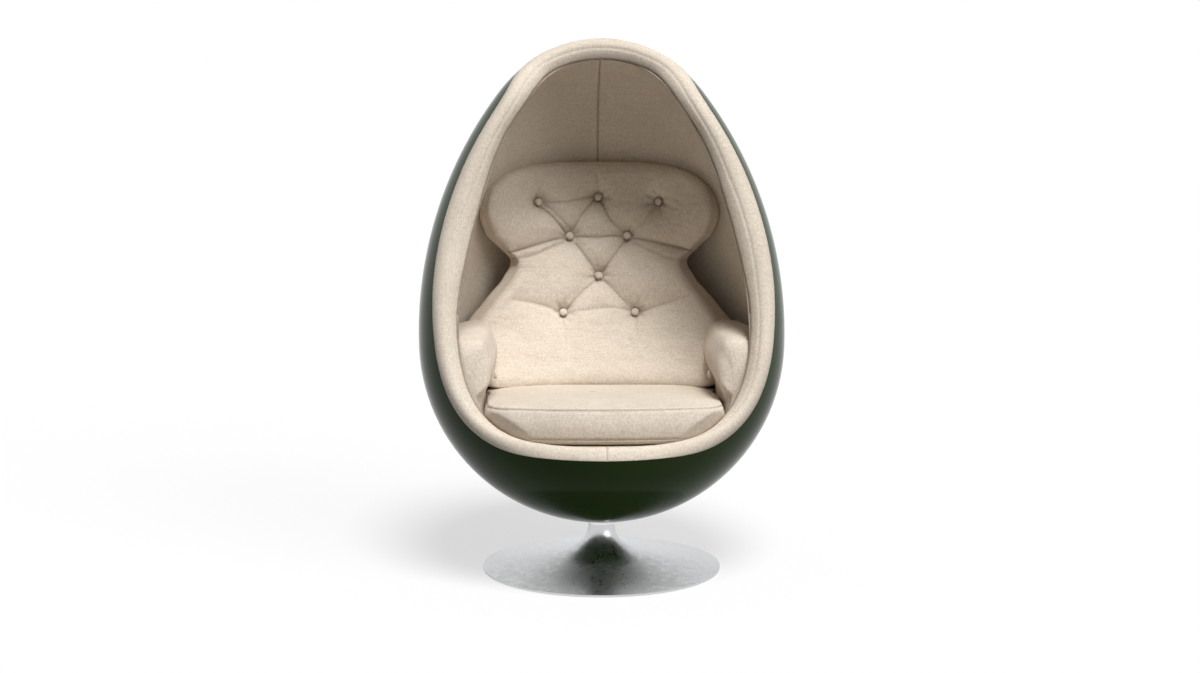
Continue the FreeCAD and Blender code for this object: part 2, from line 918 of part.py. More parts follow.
def tuft_frame(x, up):
    """Place and outward direction of a tuft on the back cushion's front."""
    step = 4.0
    here = V(x, front_depth(x, up), shell_middle + up)
    right = V(2 * step, front_depth(x + step, up) - front_depth(x - step, up), 0)
    above = V(0, front_depth(x, up + step) - front_depth(x, up - step), 2 * step)
    return here, right.cross(above).normalize()


def funnel(depth, radius, floor):
    """The cut that draws a cushion in at a button, opening towards +Z."""
    rim = 0.3 * radius
    return Part.makeCone(floor, radius, depth + rim, V(0, 0, -depth))


def button(depth):
    """A covered button with its domed face towards +Z, sitting on the tuft's floor."""
    low = -depth + glue_gap
    shoulder = low + 0.4 * button_height
    top = low + button_height
    return turned([
        (0, low),
        (button_radius, low),
        (button_radius, shoulder),
        (0.7 * button_radius, top),
        (0, top),
    ])


def put(shape, here, outward):
    """Turns a shape's +Z to the outward direction and moves its origin to here."""
    turn = FreeCAD.Rotation(V(0, 0, 1), outward)
    shape.Placement = FreeCAD.Placement(here, turn).multiply(shape.Placement)
    return shape


def back_blank():
    return Part.makeLoft([back_section(row) for row in back_rows], True, True)


def back_cushion():
    body = back_blank().common(ROOM)
    for x, up in back_button_places:
        here, outward = tuft_frame(x, up)
        body = body.cut(put(funnel(tuft_depth, tuft_radius, tuft_floor), here, outward))
    return body


def back_buttons():
    solids = []
    for x, up in back_button_places:
        here, outward = tuft_frame(x, up)
        solids.append(put(button(tuft_depth), here, outward))
    return group(solids)


def back_base_foam():
    """The wedge between the back cushion's rear and the lining, running down behind the seat."""
    sections = []
    for row in back_foam_low_rows + back_rows[1:]:
        if row[0] > back_foam_top:
            break
        half, z = row[1] - back_foam_inset, shell_middle + row[0]
        rear = row[2] + row[4] / 2
        side = row[2] - row[3] + row[5] / 2
        corners = V(half, side, z), V(half, pod_reach, z), V(-half, pod_reach, z), V(-half, side, z)
        sides = [Part.makeLine(a, b) for a, b in zip(corners, corners[1:])]
        sections.append(wire(arc(corners[3], V(0, rear, z), corners[0]), *sides))
    body = Part.makeLoft(sections, True, True)
    cushion = back_blank()
    cushion.translate(V(0, glue_gap, 0))
    return body.common(ROOM).cut(below_seat(glue_gap)).cut(cushion)


def arm_section(y, shrink, rise):
    """Cross-section of the left-hand side arm pad blank at y, for the +X side."""
    seat_low = shell_middle - seat_drop
    lean_y = math.tan(math.radians(rise))
    low = seat_low - 60
    shelf = seat_low + 14 + seat_boxing + arm_seat_gap
    top = seat_low + arm_height - shrink
    inner_low = seat_half_width + arm_low_gap + shrink * 0.4
    inner = arm_inner + shrink
    far = pod_reach

    def spot(x, z):
        return V(x, y + (z - seat_low) * lean_y, z)

    return wire(
        Part.makeLine(spot(far, low), spot(inner_low, low)),
        Part.makeLine(spot(inner_low, low), spot(inner_low, shelf)),
        arc(spot(inner_low, shelf), spot(inner, shelf + 52), spot(inner + 10, top - 36)),
        arc(spot(inner + 10, top - 36), spot(arm_crest - 22 + shrink * 0.6, top - 8), spot(arm_crest + shrink * 0.3, top)),
        Part.makeLine(spot(arm_crest + shrink * 0.3, top), spot(far, top - 16)),
        Part.makeLine(spot(far, top - 16), spot(far, low)),
    )


def arm_blank():
    stations = (
        (-arm_front, 34.0, 0.0),
        (-arm_front + 10, 14.0, 0.0),
        (-arm_front + 34, 3.0, 0.0),
        (-arm_front + 90, 0.0, arm_back_lean * 0.4),
        (arm_back - 50, 0.0, arm_back_lean),
        (arm_back, 4.0, arm_back_lean),
    )
    return Part.makeLoft([arm_section(*station) for station in stations], True, True)


def arm_tuft_frame():
    z = shell_middle + arm_button_up
    return V(arm_inner, arm_button_along, z), V(-1, 0, 0)


def arm_pad(side):
    cushion = back_blank()
    cushion.translate(V(0, -soft_gap, 0))
    body = arm_blank().common(ROOM).cut(below_seat(soft_gap / 2)).cut(cushion)
    body = max(body.Solids, key=lambda solid: solid.Volume)
    body = body.cut(put(funnel(arm_tuft_depth, arm_tuft_radius, tuft_floor), *arm_tuft_frame()))
    return body if side > 0 else body.mirror(V(0, 0, 0), V(1, 0, 0))


def arm_buttons():
    right = put(button(arm_tuft_depth), *arm_tuft_frame())
    return group([right, right.mirror(V(0, 0, 0), V(1, 0, 0))])


OPENING_TOOL = opening_tool()
ROOM = egg_solid(PADDING, soft_gap, strip_rise)
FOAM = foam_lining()

nodes = {
    "floor_felt": floor_felt,
    "base_plate": base_plate,
    "base_trumpet": base_trumpet,
    "ballast_disc": ballast_disc,
    "column_flange": column_flange,
    "flange_screws": flange_screws,
    "column_tube": column_tube,
    "bearing_housing": bearing_housing,
    "upper_bush": upper_bush,
    "lower_bush": lower_bush,
    "neck_sleeve": neck_sleeve,
    "bearing_lower_washer": bearing_lower_washer,
    "bearing_cage": bearing_cage,
    "bearing_rollers": bearing_rollers,
    "bearing_upper_washer": bearing_upper_washer,
    "spindle": spindle,
    "retaining_washer": retaining_washer,
    "retaining_screw": retaining_screw,
    "collar_ring": collar_ring,
    "swivel_plate": swivel_plate,
    "plate_washers": plate_washers,
    "plate_bolts": plate_bolts,
    "threaded_inserts": threaded_inserts,
    "mounting_pad": mounting_pad,
    "pod_shell": pod_shell,
    "lining_left": lambda: lining_cover(90),
    "lining_right": lambda: lining_cover(-90),
    "rim_roll": rim_roll,
    "seat_base_foam": seat_base_foam,
    "back_base_foam": back_base_foam,
    "seat_cushion": seat_cushion,
    "back_cushion": back_cushion,
    "arm_pad_left": lambda: arm_pad(-1),
    "arm_pad_right": lambda: arm_pad(1),
    "back_buttons": back_buttons,
    "arm_buttons": arm_buttons,
}

for name, low, high in zip(panel_names, panel_joints, panel_joints[1:]):
    nodes[f"foam_{name}_left"] = lambda low=low, high=high: foam_panel(-1, low, high)
    nodes[f"foam_{name}_right"] = lambda low=low, high=high: foam_panel(1, low, high)

os.makedirs("parts", exist_ok=True)
for name, make in nodes.items():
    shape = make()
    shape.exportStep(f"parts/{name}.step")
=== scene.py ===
import bpy
import math
import numpy as np
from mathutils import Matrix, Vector, noise

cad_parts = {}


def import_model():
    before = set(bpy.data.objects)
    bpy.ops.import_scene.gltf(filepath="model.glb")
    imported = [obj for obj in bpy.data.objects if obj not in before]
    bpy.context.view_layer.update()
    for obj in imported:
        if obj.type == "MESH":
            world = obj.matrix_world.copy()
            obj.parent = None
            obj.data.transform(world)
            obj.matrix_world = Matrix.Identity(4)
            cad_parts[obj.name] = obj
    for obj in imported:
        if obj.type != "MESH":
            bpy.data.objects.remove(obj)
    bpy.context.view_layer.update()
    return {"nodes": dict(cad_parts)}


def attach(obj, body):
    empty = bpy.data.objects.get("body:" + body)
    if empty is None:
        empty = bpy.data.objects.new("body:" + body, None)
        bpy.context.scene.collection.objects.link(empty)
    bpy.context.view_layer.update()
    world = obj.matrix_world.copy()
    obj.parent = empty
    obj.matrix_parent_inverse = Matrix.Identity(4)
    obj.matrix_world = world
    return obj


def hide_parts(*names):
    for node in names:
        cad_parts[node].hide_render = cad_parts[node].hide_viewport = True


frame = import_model()
NODES = frame["nodes"]

# Shapes are worked out in millimetres and turned to metres when a mesh is made.
MM = 0.001

# The driving values of the part's source. ARM_BACK is 20.0 there, so these arm pads
# reach further back than the part's and run into the back cushion.
SHELL_ARCS = ((429.4, 88.0), (932.0, 39.6))
SHELL_LOW = -565.5
PADDING_ARCS = ((390.7, 43.6), (360.2, 52.9), (1491.6, 18.9), (313.4, 27.7))
PADDING_LOW = -523.5
SHELL_WALL = 7.0
TILT = math.radians(6.0)
SHELL_BOTTOM = 121.8
OPENING_EDGE = (
    (60.0, 612.0), (22.0, 562.0), (-13.0, 505.0), (-66.0, 440.0), (-93.0, 360.0), (-132.0, 180.0),
    (-173.0, 0.0), (-224.0, -175.0), (-273.0, -303.0), (-320.0, -343.0), (-384.0, -354.0), (-480.0, -368.0),
)
COVER = 3.0
PANEL_JOINTS = (0.0, 400.0, 640.0, 880.0, 1400.0)
PANEL_NAMES = ("bowl", "hip", "shoulder", "hood")
GAP = 0.6
SEAT_DROP = 330.0
SEAT_SLOPE = math.radians(3.0)
SEAT_FRONT = 335.0
SEAT_BACK = 150.0
SEAT_HALF = 268.0
SEAT_BOXING = 66.0
SEAT_LOW_SEAM = 14.0
SEAT_CROWN = 17.0
SEAT_BOW = 40.0
ARM_INNER = 250.0
ARM_CREST = 292.0
ARM_FRONT = 216.0
ARM_BACK = 54.0
ARM_HEIGHT = 228.0
ARM_LEAN = 22.0
ARM_LOW = 274.0
ARM_SHELF = 96.0
BACK_BUTTONS = (
    (-141.0, 177.0), (0.0, 187.0), (141.0, 177.0), (-68.0, 94.0),
    (68.0, 94.0), (0.0, -1.0), (-86.0, -87.0), (86.0, -87.0),
)
ARM_BUTTON = (-90.0, -206.0)
BACK_ROWS = (
    (-257.0, 282.0, 88.0, 50.0, 80.0, 44.0),
    (-247.0, 300.0, 84.0, 53.0, 98.0, 60.0),
    (-205.0, 320.0, 105.0, 62.0, 104.0, 70.0),
    (-136.0, 330.0, 146.0, 72.0, 104.0, 74.0),
    (-66.0, 284.0, 176.0, 64.0, 100.0, 74.0),
    (-6.0, 234.0, 197.0, 56.0, 98.0, 72.0),
    (30.0, 217.0, 208.0, 54.0, 96.0, 70.0),
    (64.0, 243.0, 218.0, 72.0, 98.0, 76.0),
    (104.0, 279.0, 229.0, 112.0, 97.0, 80.0),
    (159.0, 291.0, 242.0, 148.0, 93.0, 76.0),
    (204.0, 279.0, 250.0, 138.0, 76.0, 62.0),
    (239.0, 248.0, 256.0, 104.0, 60.0, 50.0),
    (261.0, 186.0, 262.0, 52.0, 46.0, 38.0),
    (270.0, 100.0, 268.0, 14.0, 30.0, 24.0),
)


# ---- Outlines shared with the part ----

def arc_chain(arcs, low):
    chain = []
    r, z, angle = 0.0, low, 0.0
    for radius, turn in arcs:
        cr = r - radius * math.sin(angle)
        cz = z + radius * math.cos(angle)
        after = angle + math.radians(turn)
        chain.append((cr, cz, radius, angle, after))
        r = cr + radius * math.sin(after)
        z = cz - radius * math.cos(after)
        angle = after
    closing = r / math.sin(angle)
    chain.append((0.0, z + closing * math.cos(angle), closing, angle, math.pi))
    return chain


SHELL = arc_chain(SHELL_ARCS, SHELL_LOW)
PADDING = arc_chain(PADDING_ARCS, PADDING_LOW)


def egg_radius(chain, height, inset=0.0):
    """Radius of the egg at heights along its own axis; 0 beyond its ends."""
    height = np.asarray(height, float)
    radius = np.zeros_like(height)
    for cr, cz, size, start, end in chain:
        size = size - inset
        low = cz - size * math.cos(start)
        high = cz - size * math.cos(end)
        part = (height >= low) & (height <= high)
        rise = np.clip(height - cz, -size, size)
        radius = np.where(part, cr + np.sqrt(size * size - rise * rise), radius)
    return radius


def to_egg(y, up):
    """Distance forward and height from the middle, in the egg's own upright frame."""
    return y * math.cos(TILT) - up * math.sin(TILT), y * math.sin(TILT) + up * math.cos(TILT)


def from_egg(y, up):
    return y * math.cos(TILT) + up * math.sin(TILT), up * math.cos(TILT) - y * math.sin(TILT)


def underside_drop():
    turns = np.linspace(0.0, 0.5, 20001)
    cr, cz, size, start, end = SHELL[0]
    r = cr + size * np.sin(turns)
    z = cz - size * np.cos(turns)
    k = int(np.argmin(np.abs(r * math.cos(TILT) + z * math.sin(TILT))))
    return r[k] * math.sin(TILT) - z[k] * math.cos(TILT)


MIDDLE = SHELL_BOTTOM + underside_drop()


def egg_half_width(chain, y, up, inset=0.0):
    """Half width of the egg at a place in its side view; negative outside."""
    across, along = to_egg(y, up)
    square = egg_radius(chain, along, inset) ** 2 - across ** 2
    return np.where(square > 0, np.sqrt(np.abs(square)), -1.0)


def cast(chain, inset, centre, direction):
    """Points where rays from a centre inside the egg meet its surface."""
    near = np.zeros(direction.shape[:-1])
    far = near + 1400.0
    for _ in range(44):
        t = (near + far) / 2
        p = centre + direction * t[..., None]
        across, along = to_egg(p[..., 1], p[..., 2])
        inside = np.hypot(p[..., 0], across) < egg_radius(chain, along, inset)
        near = np.where(inside, t, near)
        far = np.where(inside, far, t)
    return centre + direction * near[..., None]


def into_room(points, inset=GAP):
    """Draws points that stand outside the padding's face back onto it."""
    moved = points.copy()
    across, along = to_egg(points[:, 1], points[:, 2] - MIDDLE)
    size = np.hypot(points[:, 0], across)
    room = egg_radius(PADDING, along, inset)
    share = np.where(size > room, room / np.maximum(size, 1e-6), 1.0)
    y, up = from_egg(across * share, along)
    moved[:, 0] = points[:, 0] * share
    moved[:, 1] = y
    moved[:, 2] = up + MIDDLE
    return moved


def run_along(points):
    """Distance along a line of points, from 0 at the first."""
    return np.concatenate([[0.0], np.cumsum(np.linalg.norm(np.diff(points, axis=0), axis=1))])


def spline(points, count):
    """A smooth curve through points, even along its chord length."""
    points = np.asarray(points, float)
    run = run_along(points)
    n = len(points)
    system = np.zeros((n, n))
    right = np.zeros_like(points)
    system[0, 0] = system[-1, -1] = 1.0
    step = np.diff(run)
    for k in range(1, n - 1):
        system[k, k - 1] = step[k - 1]
        system[k, k] = 2 * (step[k - 1] + step[k])
        system[k, k + 1] = step[k]
        after = (points[k + 1] - points[k]) / step[k]
        before = (points[k] - points[k - 1]) / step[k - 1]
        right[k] = 6 * (after - before)
    bend = np.linalg.solve(system, right)
    at = np.linspace(0, run[-1], count)
    k = np.clip(np.searchsorted(run, at) - 1, 0, n - 2)
    h = step[k][:, None]
    a = ((run[k + 1] - at)[:, None]) / h
    b = 1 - a
    curve = (a ** 3 - a) * bend[k] + (b ** 3 - b) * bend[k + 1]
    return a * points[k] + b * points[k + 1] + curve * h * h / 6


OPENING = spline(OPENING_EDGE, count=4000)
OPENING_RUN = run_along(OPENING)


def on_opening(s):
    """Side view of the opening's edge at the distance s from its top end."""
    return np.interp(s, OPENING_RUN, OPENING[:, 0]), np.interp(s, OPENING_RUN, OPENING[:, 1])


def rim_limit(chain, inset, outside):
    inside = OPENING_RUN[-1] / 2
    for _ in range(50):
        s = (inside + outside) / 2
        if egg_half_width(chain, *on_opening(s), inset) < 0:
            outside = s
        else:
            inside = s
    return inside


def rim_side(chain, inset, count=600):
    """One side of the opening's edge on an egg, from the foot to the top: s, x, y, up."""
    top = rim_limit(chain, inset, 0.0)
    foot = rim_limit(chain, inset, OPENING_RUN[-1])
    s = foot + (top - foot) * (1 - np.cos(np.linspace(0, math.pi, count))) / 2
    y, up = on_opening(s)
    x = np.maximum(0.0, egg_half_width(chain, y, up, inset))
    x[0] = x[-1] = 0.0
    return s, x, y, up


# ---- Mesh helpers ----

def make(name, points, faces, material, body="pod", crease=None):
    mesh = bpy.data.meshes.new(name)
    mesh.from_pydata((np.asarray(points) * MM).tolist(), [], faces)
    # The crease value is painted shade: the linen reads it and darkens its colour in folds, seams and round
    # buttons.
    if crease is not None:
        held = mesh.attributes.new("crease", "FLOAT", "POINT")
        held.data.foreach_set("value", np.clip(crease, 0, 1).astype(np.float32))
    mesh.polygons.foreach_set("use_smooth", [True] * len(mesh.polygons))
    mesh.update()
    piece = bpy.data.objects.new(name, mesh)
    bpy.context.scene.collection.objects.link(piece)
    mesh.materials.append(material)
    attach(piece, body)
    return piece


def strip_faces(rows, columns, closed=True, start=0, flip=False):
    """Quads of a grid whose points run row by row."""
    faces = []
    last = columns if closed else columns - 1
    for i in range(rows - 1):
        for j in range(last):
            a = start + i * columns + j
            b = start + i * columns + (j + 1) % columns
            quad = (a, b, b + columns, a + columns)
            faces.append(quad[::-1] if flip else quad)
    return faces


def capped(loops, rings=5, bulge=0.0):
    """A closed skin through loops of equal length, with caps drawn to each end's middle."""
    loops = [np.asarray(loop, float) for loop in loops]

    def cap(loop, inner):
        middle = loop.mean(0)
        away = middle - inner.mean(0)
        away = away / max(1e-6, np.linalg.norm(away))
        made = []
        for k in range(1, rings + 1):
            share = k / (rings + 1)
            made.append(middle + (loop - middle) * (1 - share) + away * bulge * math.sin(share * math.pi / 2))
        return made, middle + away * bulge

    head, head_tip = cap(loops[0], loops[1])
    tail, tail_tip = cap(loops[-1], loops[-2])
    rows = head[::-1] + loops + tail
    count = len(loops[0])
    faces = strip_faces(len(rows), count)
    points = np.concatenate(rows + [[head_tip], [tail_tip]])
    first, last = len(points) - 2, len(points) - 1
    base = (len(rows) - 1) * count
    faces += [(first, (j + 1) % count, j) for j in range(count)]
    faces += [(last, base + j, base + (j + 1) % count) for j in range(count)]
    return points, faces


def normals_of(points, faces):
    quads = np.array([f if len(f) == 4 else (f[0], f[1], f[2], f[2]) for f in faces])
    across = points[quads[:, 2]] - points[quads[:, 0]]
    along = points[quads[:, 3]] - points[quads[:, 1]]
    flat = np.cross(across, along)
    total = np.zeros_like(points)
    for k in range(4):
        np.add.at(total, quads[:, k], flat)
    size = np.linalg.norm(total, axis=1)
    return total / np.maximum(size, 1e-9)[:, None]


def outward(points, faces):
    """Faces turned to look out of a closed skin, judged by its volume."""
    tri = np.array([(f[0], f[1], f[2]) for f in faces] + [(f[0], f[2], f[3]) for f in faces if len(f) == 4])
    a, b, c = points[tri[:, 0]], points[tri[:, 1]], points[tri[:, 2]]
    volume = np.einsum("ij,ij->i", a, np.cross(b, c)).sum()
    return faces if volume > 0 else [f[::-1] for f in faces]


def roughly(points, size, seed):
    """Smooth noise from -1 to 1 at each point; size is the wave in millimetres on each axis."""
    scale = 1.0 / np.asarray(size, float)
    shift = Vector((seed * 17.3, seed * 5.1, seed * 9.7))
    return np.array([noise.noise(Vector(p) + shift) for p in (points * scale).tolist()])


def bump(distance, width):
    """A round swell or dip."""
    return np.exp(-(distance / width) ** 2)


def level_loop(x, y, height):
    """A loop of points at one height."""
    return np.stack([x, y, np.full(len(x), height)], axis=1)


def valley(distance, width):
    """A sharp-bottomed fold."""
    return np.exp(-np.sqrt(distance * distance + (0.18 * width) ** 2) / width + 0.18)


def along_line(x, z, line):
    """Distance to a polyline and how far along it, from 0 to 1, the nearest place is."""
    line = np.asarray(line, float)
    lengths = np.linalg.norm(np.diff(line, axis=0), axis=1)
    total = lengths.sum()
    best = np.full(x.shape, 1e9)
    share = np.zeros(x.shape)
    done = 0.0
    for (ax, az), (bx, bz), size in zip(line, line[1:], lengths):
        t = np.clip(((x - ax) * (bx - ax) + (z - az) * (bz - az)) / (size * size), 0, 1)
        d = np.hypot(x - ax - t * (bx - ax), z - az - t * (bz - az))
        share = np.where(d < best, (done + t * size) / total, share)
        best = np.minimum(best, d)
        done += size
    return best, share


# ---- Materials ----

class Nodes:
    """A small helper that adds and links shader nodes."""

    def __init__(self, name):
        self.material = bpy.data.materials.new(name)
        self.material.use_nodes = True
        self.tree = self.material.node_tree
        self.shader = self.tree.nodes["Principled BSDF"]
        self.where = self.add("ShaderNodeTexCoord").outputs["Object"]

    def add(self, kind, **settings):
        node = self.tree.nodes.new(kind)
        for key, value in settings.items():
            setattr(node, key, value)
        return node

    def link(self, a, b):
        self.tree.links.new(a, b)

    def mapped(self, scale):
        node = self.add("ShaderNodeMapping")
        node.inputs["Scale"].default_value = scale
        self.link(self.where, node.inputs["Vector"])
        return node.outputs["Vector"]

    def noise(self, scale, detail=2.0, rough=0.5):
        node = self.add("ShaderNodeTexNoise")
        node.inputs["Scale"].default_value = 1.0
        node.inputs["Detail"].default_value = detail
        node.inputs["Roughness"].default_value = rough
        self.link(self.mapped(scale), node.inputs["Vector"])
        return node.outputs["Fac"]

    def ramp(self, value, stops):
        node = self.add("ShaderNodeValToRGB")
        spots = node.color_ramp.elements
        while len(spots) < len(stops):
            spots.new(0.5)
        for spot, (place, colour) in zip(spots, stops):
            spot.position = place
            spot.color = (*colour, 1.0)
        self.link(value, node.inputs["Fac"])
        return node.outputs["Color"]

    def mix(self, amount, a, b, blend="MIX"):
        node = self.add("ShaderNodeMix", data_type="RGBA", blend_type=blend)
        if isinstance(amount, float):
            node.inputs["Factor"].default_value = amount
        else:
            self.link(amount, node.inputs["Factor"])
        self.link(a, node.inputs["A"])
        self.link(b, node.inputs["B"])
        return node.outputs["Result"]

    def math(self, operation, a, b=None):
        node = self.add("ShaderNodeMath", operation=operation)
        for socket, value in zip(node.inputs, (a, b)):
            if value is None:
                continue
            if isinstance(value, float):
                socket.default_value = value
            else:
                self.link(value, socket)
        return node.outputs[0]

    def bumped(self, height, distance, strength=1.0, before=None):
        node = self.add("ShaderNodeBump")
        node.inputs["Strength"].default_value = strength
        node.inputs["Distance"].default_value = distance
        self.link(height, node.inputs["Height"])
        if before is not None:
            self.link(before, node.inputs["Normal"])
        return node.outputs["Normal"]

    def set(self, **values):
        for key, value in values.items():
            self.shader.inputs[key.replace("_", " ")].default_value = value

    def take(self, **sources):
        for key, value in sources.items():
            self.link(value, self.shader.inputs[key.replace("_", " ")])


def even(size):
    return (size, size, size)


def linen(name):
    """Slub linen: uneven threads across and down, a heathered tone, with painted shade in the folds, seams
    and round buttons.
    """
    n = Nodes(name)
    slub = n.noise((26.0, 60.0, 300.0), 3.0, 0.65)
    weft = n.noise((150.0, 230.0, 620.0), 2.0, 0.6)
    warp = n.noise((560.0, 400.0, 110.0), 2.0, 0.6)
    cloud = n.noise(even(5.0), 3.0, 0.6)
    thread = (0.50, (0.645, 0.565, 0.470))
    slub_tone = n.ramp(slub, (
        (0.34, (0.500, 0.430, 0.348)), (0.50, (0.630, 0.552, 0.460)), (0.68, (0.760, 0.680, 0.585)),
    ))
    weft_tone = n.ramp(weft, ((0.34, (0.440, 0.375, 0.300)), thread, (0.66, (0.810, 0.735, 0.640))))
    warp_tone = n.ramp(warp, ((0.34, (0.490, 0.420, 0.340)), thread, (0.66, (0.770, 0.690, 0.595))))
    tone = n.mix(0.50, n.mix(0.55, slub_tone, weft_tone), warp_tone)
    cloud_tone = n.ramp(cloud, ((0.3, (0.90, 0.89, 0.88)), (0.7, (1.0, 1.0, 1.0))))
    tone = n.mix(1.0, tone, cloud_tone, "MULTIPLY")
    # Painted shade: the crease attribute darkens the colour by up to half in folds, seams and round buttons.
    folds = n.add("ShaderNodeAttribute", attribute_name="crease").outputs["Fac"]
    painted_fold_shade = n.ramp(folds, ((0.0, (1.0, 1.0, 1.0)), (1.0, (0.50, 0.46, 0.42))))
    n.take(Base_Color=n.mix(1.0, tone, painted_fold_shade, "MULTIPLY"))
    first = n.bumped(slub, 0.0007, 0.5)
    second = n.bumped(weft, 0.0005, 0.6, first)
    n.take(Normal=n.bumped(warp, 0.0005, 0.5, second))
    n.set(Roughness=0.9, Sheen_Weight=0.10, Sheen_Roughness=0.5)
    return n.material


def moulded_gloss():
    n = Nodes("shell_gloss")
    wave = n.noise(even(3.0), 2.0, 0.5)
    fine = n.noise(even(320.0), 2.0, 0.5)
    n.take(Base_Color=n.ramp(wave, ((0.3, (0.021, 0.040, 0.010)), (0.7, (0.026, 0.047, 0.013)))))
    n.take(Roughness=n.ramp(fine, ((0.3, even(0.10)), (0.7, even(0.16)))))
    n.take(Normal=n.bumped(wave, 0.0008, 0.25))
    n.set(IOR=1.10, Specular_Tint=(0.55, 0.66, 0.48, 1.0))
    return n.material


def brushed(name, colour, roughness, strength):
    """Metal turned on a lathe: fine rings about the axis."""
    n = Nodes(name)
    flat = n.mapped((1.0, 1.0, 0.0))
    size = n.add("ShaderNodeVectorMath", operation="LENGTH")
    n.link(flat, size.inputs[0])
    up = n.add("ShaderNodeSeparateXYZ")
    n.link(n.where, up.inputs[0])
    along = n.math("ADD", size.outputs["Value"], up.outputs["Z"])
    rings = n.add("ShaderNodeTexNoise", noise_dimensions="1D")
    rings.inputs["Scale"].default_value = 1400.0
    rings.inputs["Detail"].default_value = 3.0
    n.link(along, rings.inputs["W"])
    marks = n.noise(even(60.0), 3.0, 0.6)
    dark = tuple(c * 0.86 for c in colour)
    n.take(Base_Color=n.ramp(rings.outputs["Fac"], ((0.3, dark), (0.7, colour))))
    low, high = roughness * 0.85, roughness * 1.2
    n.take(Roughness=n.ramp(marks, ((0.3, even(low)), (0.7, even(high)))))
    n.take(Normal=n.bumped(rings.outputs["Fac"], 0.00004, strength))
    tangent = n.add("ShaderNodeTangent", direction_type="RADIAL", axis="Z")
    n.take(Tangent=tangent.outputs["Tangent"])
    n.set(Metallic=1.0, Anisotropic=0.6)
    return n.material


def plain_metal(name, colour, roughness):
    n = Nodes(name)
    marks = n.noise(even(180.0), 3.0, 0.6)
    dark = tuple(c * 0.8 for c in colour)
    n.take(Base_Color=n.ramp(marks, ((0.3, dark), (0.7, colour))))
    low, high = roughness * 0.8, roughness * 1.3
    n.take(Roughness=n.ramp(marks, ((0.35, even(low)), (0.65, even(high)))))
    n.set(Metallic=1.0)
    return n.material


def grained(name, light, dark, scale, roughness, depth):
    """A matt material with a noise grain: foam, felt, paint, plastic or wood."""
    n = Nodes(name)
    grain = n.noise(scale, 3.0, 0.6)
    n.take(Base_Color=n.ramp(grain, ((0.3, dark), (0.7, light))))
    n.take(Normal=n.bumped(grain, depth, 0.6))
    n.set(Roughness=roughness)
    return n.material


LINEN = linen("linen")
# The foam is given a darker tone than its own, so that its edges seen in the gaps by the lining and the roll
# read as painted shade.
FOAM_DARKENED_AS_SHADE = grained("foam", (0.46, 0.40, 0.31), (0.38, 0.33, 0.25), even(500.0), 0.95, 0.0008)
FELT = grained("felt", (0.060, 0.060, 0.062), (0.030, 0.030, 0.031), even(700.0), 0.97, 0.0006)
SLOT_MATERIALS = {
    "shell": moulded_gloss(),
    "metal": brushed("base_metal", (0.66, 0.67, 0.68), 0.30, 0.5),
    "bright": brushed("collar_metal", even(0.80), 0.14, 0.25),
    "steel": grained(
        "painted_steel", (0.050, 0.050, 0.052), (0.034, 0.034, 0.036), even(260.0), 0.5, 0.0001,
    ),
    "zinc": plain_metal("zinc_plate", (0.66, 0.67, 0.68), 0.35),
    "bearing": plain_metal("bearing_steel", (0.60, 0.60, 0.61), 0.16),
    "bronze": plain_metal("bronze", (0.62, 0.43, 0.22), 0.35),
    "nylon": grained("nylon", (0.75, 0.74, 0.70), (0.68, 0.67, 0.63), even(140.0), 0.45, 0.0001),
    "ply": grained("ply", (0.56, 0.38, 0.22), (0.40, 0.25, 0.13), (14.0, 60.0, 620.0), 0.6, 0.0003),
    "foam": FOAM_DARKENED_AS_SHADE,
    "linen": LINEN,
    "felt": FELT,
}
for node in NODES.values():
    for held in node.material_slots:
        held.material = SLOT_MATERIALS[held.material.name.split(".")[0]]


# ---- Lining of the pod ----

CENTRE = np.array([0.0, 0.0, 0.0])
LINING_ROWS = 130
# Rows of the lining at the opening's edge that are darkened with painted shade.
SHADED_BORDER_ROWS = 4


def pod_turns(count):
    """Angles round the opening from the top to the foot, closer together at the seam."""
    fine = np.array([0.0, 0.0025, 0.005, 0.008, 0.012, 0.018, 0.027, 0.038])
    even = np.linspace(0.055, math.pi - 0.055, count)
    return np.concatenate([fine, even, math.pi - fine[::-1]])


def pod_surface(chain, inset, turns, shares):
    """Grid of points on an egg, from the back's middle out to the opening's edge."""
    s, x, y, up = rim_side(chain, inset)
    around = np.arctan2(x, up)[::-1]
    reach = np.arctan2(np.hypot(x, up), y)[::-1]
    limit = np.interp(turns, around, reach)
    b = shares[:, None] * limit[None, :]
    a = np.broadcast_to(turns, b.shape)
    direction = np.stack([np.sin(b) * np.sin(a), np.cos(b), np.sin(b) * np.cos(a)], axis=-1)
    points = cast(chain, inset, CENTRE, direction)
    points[..., 2] += MIDDLE
    return points


def half_shell(front, rear):
    """A closed panel from a front and a rear grid of the same size."""
    rows, columns = front.shape[:2]
    count = rows * columns
    points = np.concatenate([front.reshape(-1, 3), rear.reshape(-1, 3)])
    faces = strip_faces(rows, columns, False)
    faces += strip_faces(rows, columns, False, count, True)
    for j in range(columns - 1):
        top = (rows - 1) * columns + j
        faces.append((top, top + 1, top + 1 + count, top + count))
        faces.append((j + 1, j, j + count, j + 1 + count))
    for i in range(rows - 1):
        for j in (0, columns - 1):
            a, b = i * columns + j, (i + 1) * columns + j
            quad = (a, b, b + count, a + count)
            faces.append(quad if j == 0 else quad[::-1])
    return points, outward(points, faces)


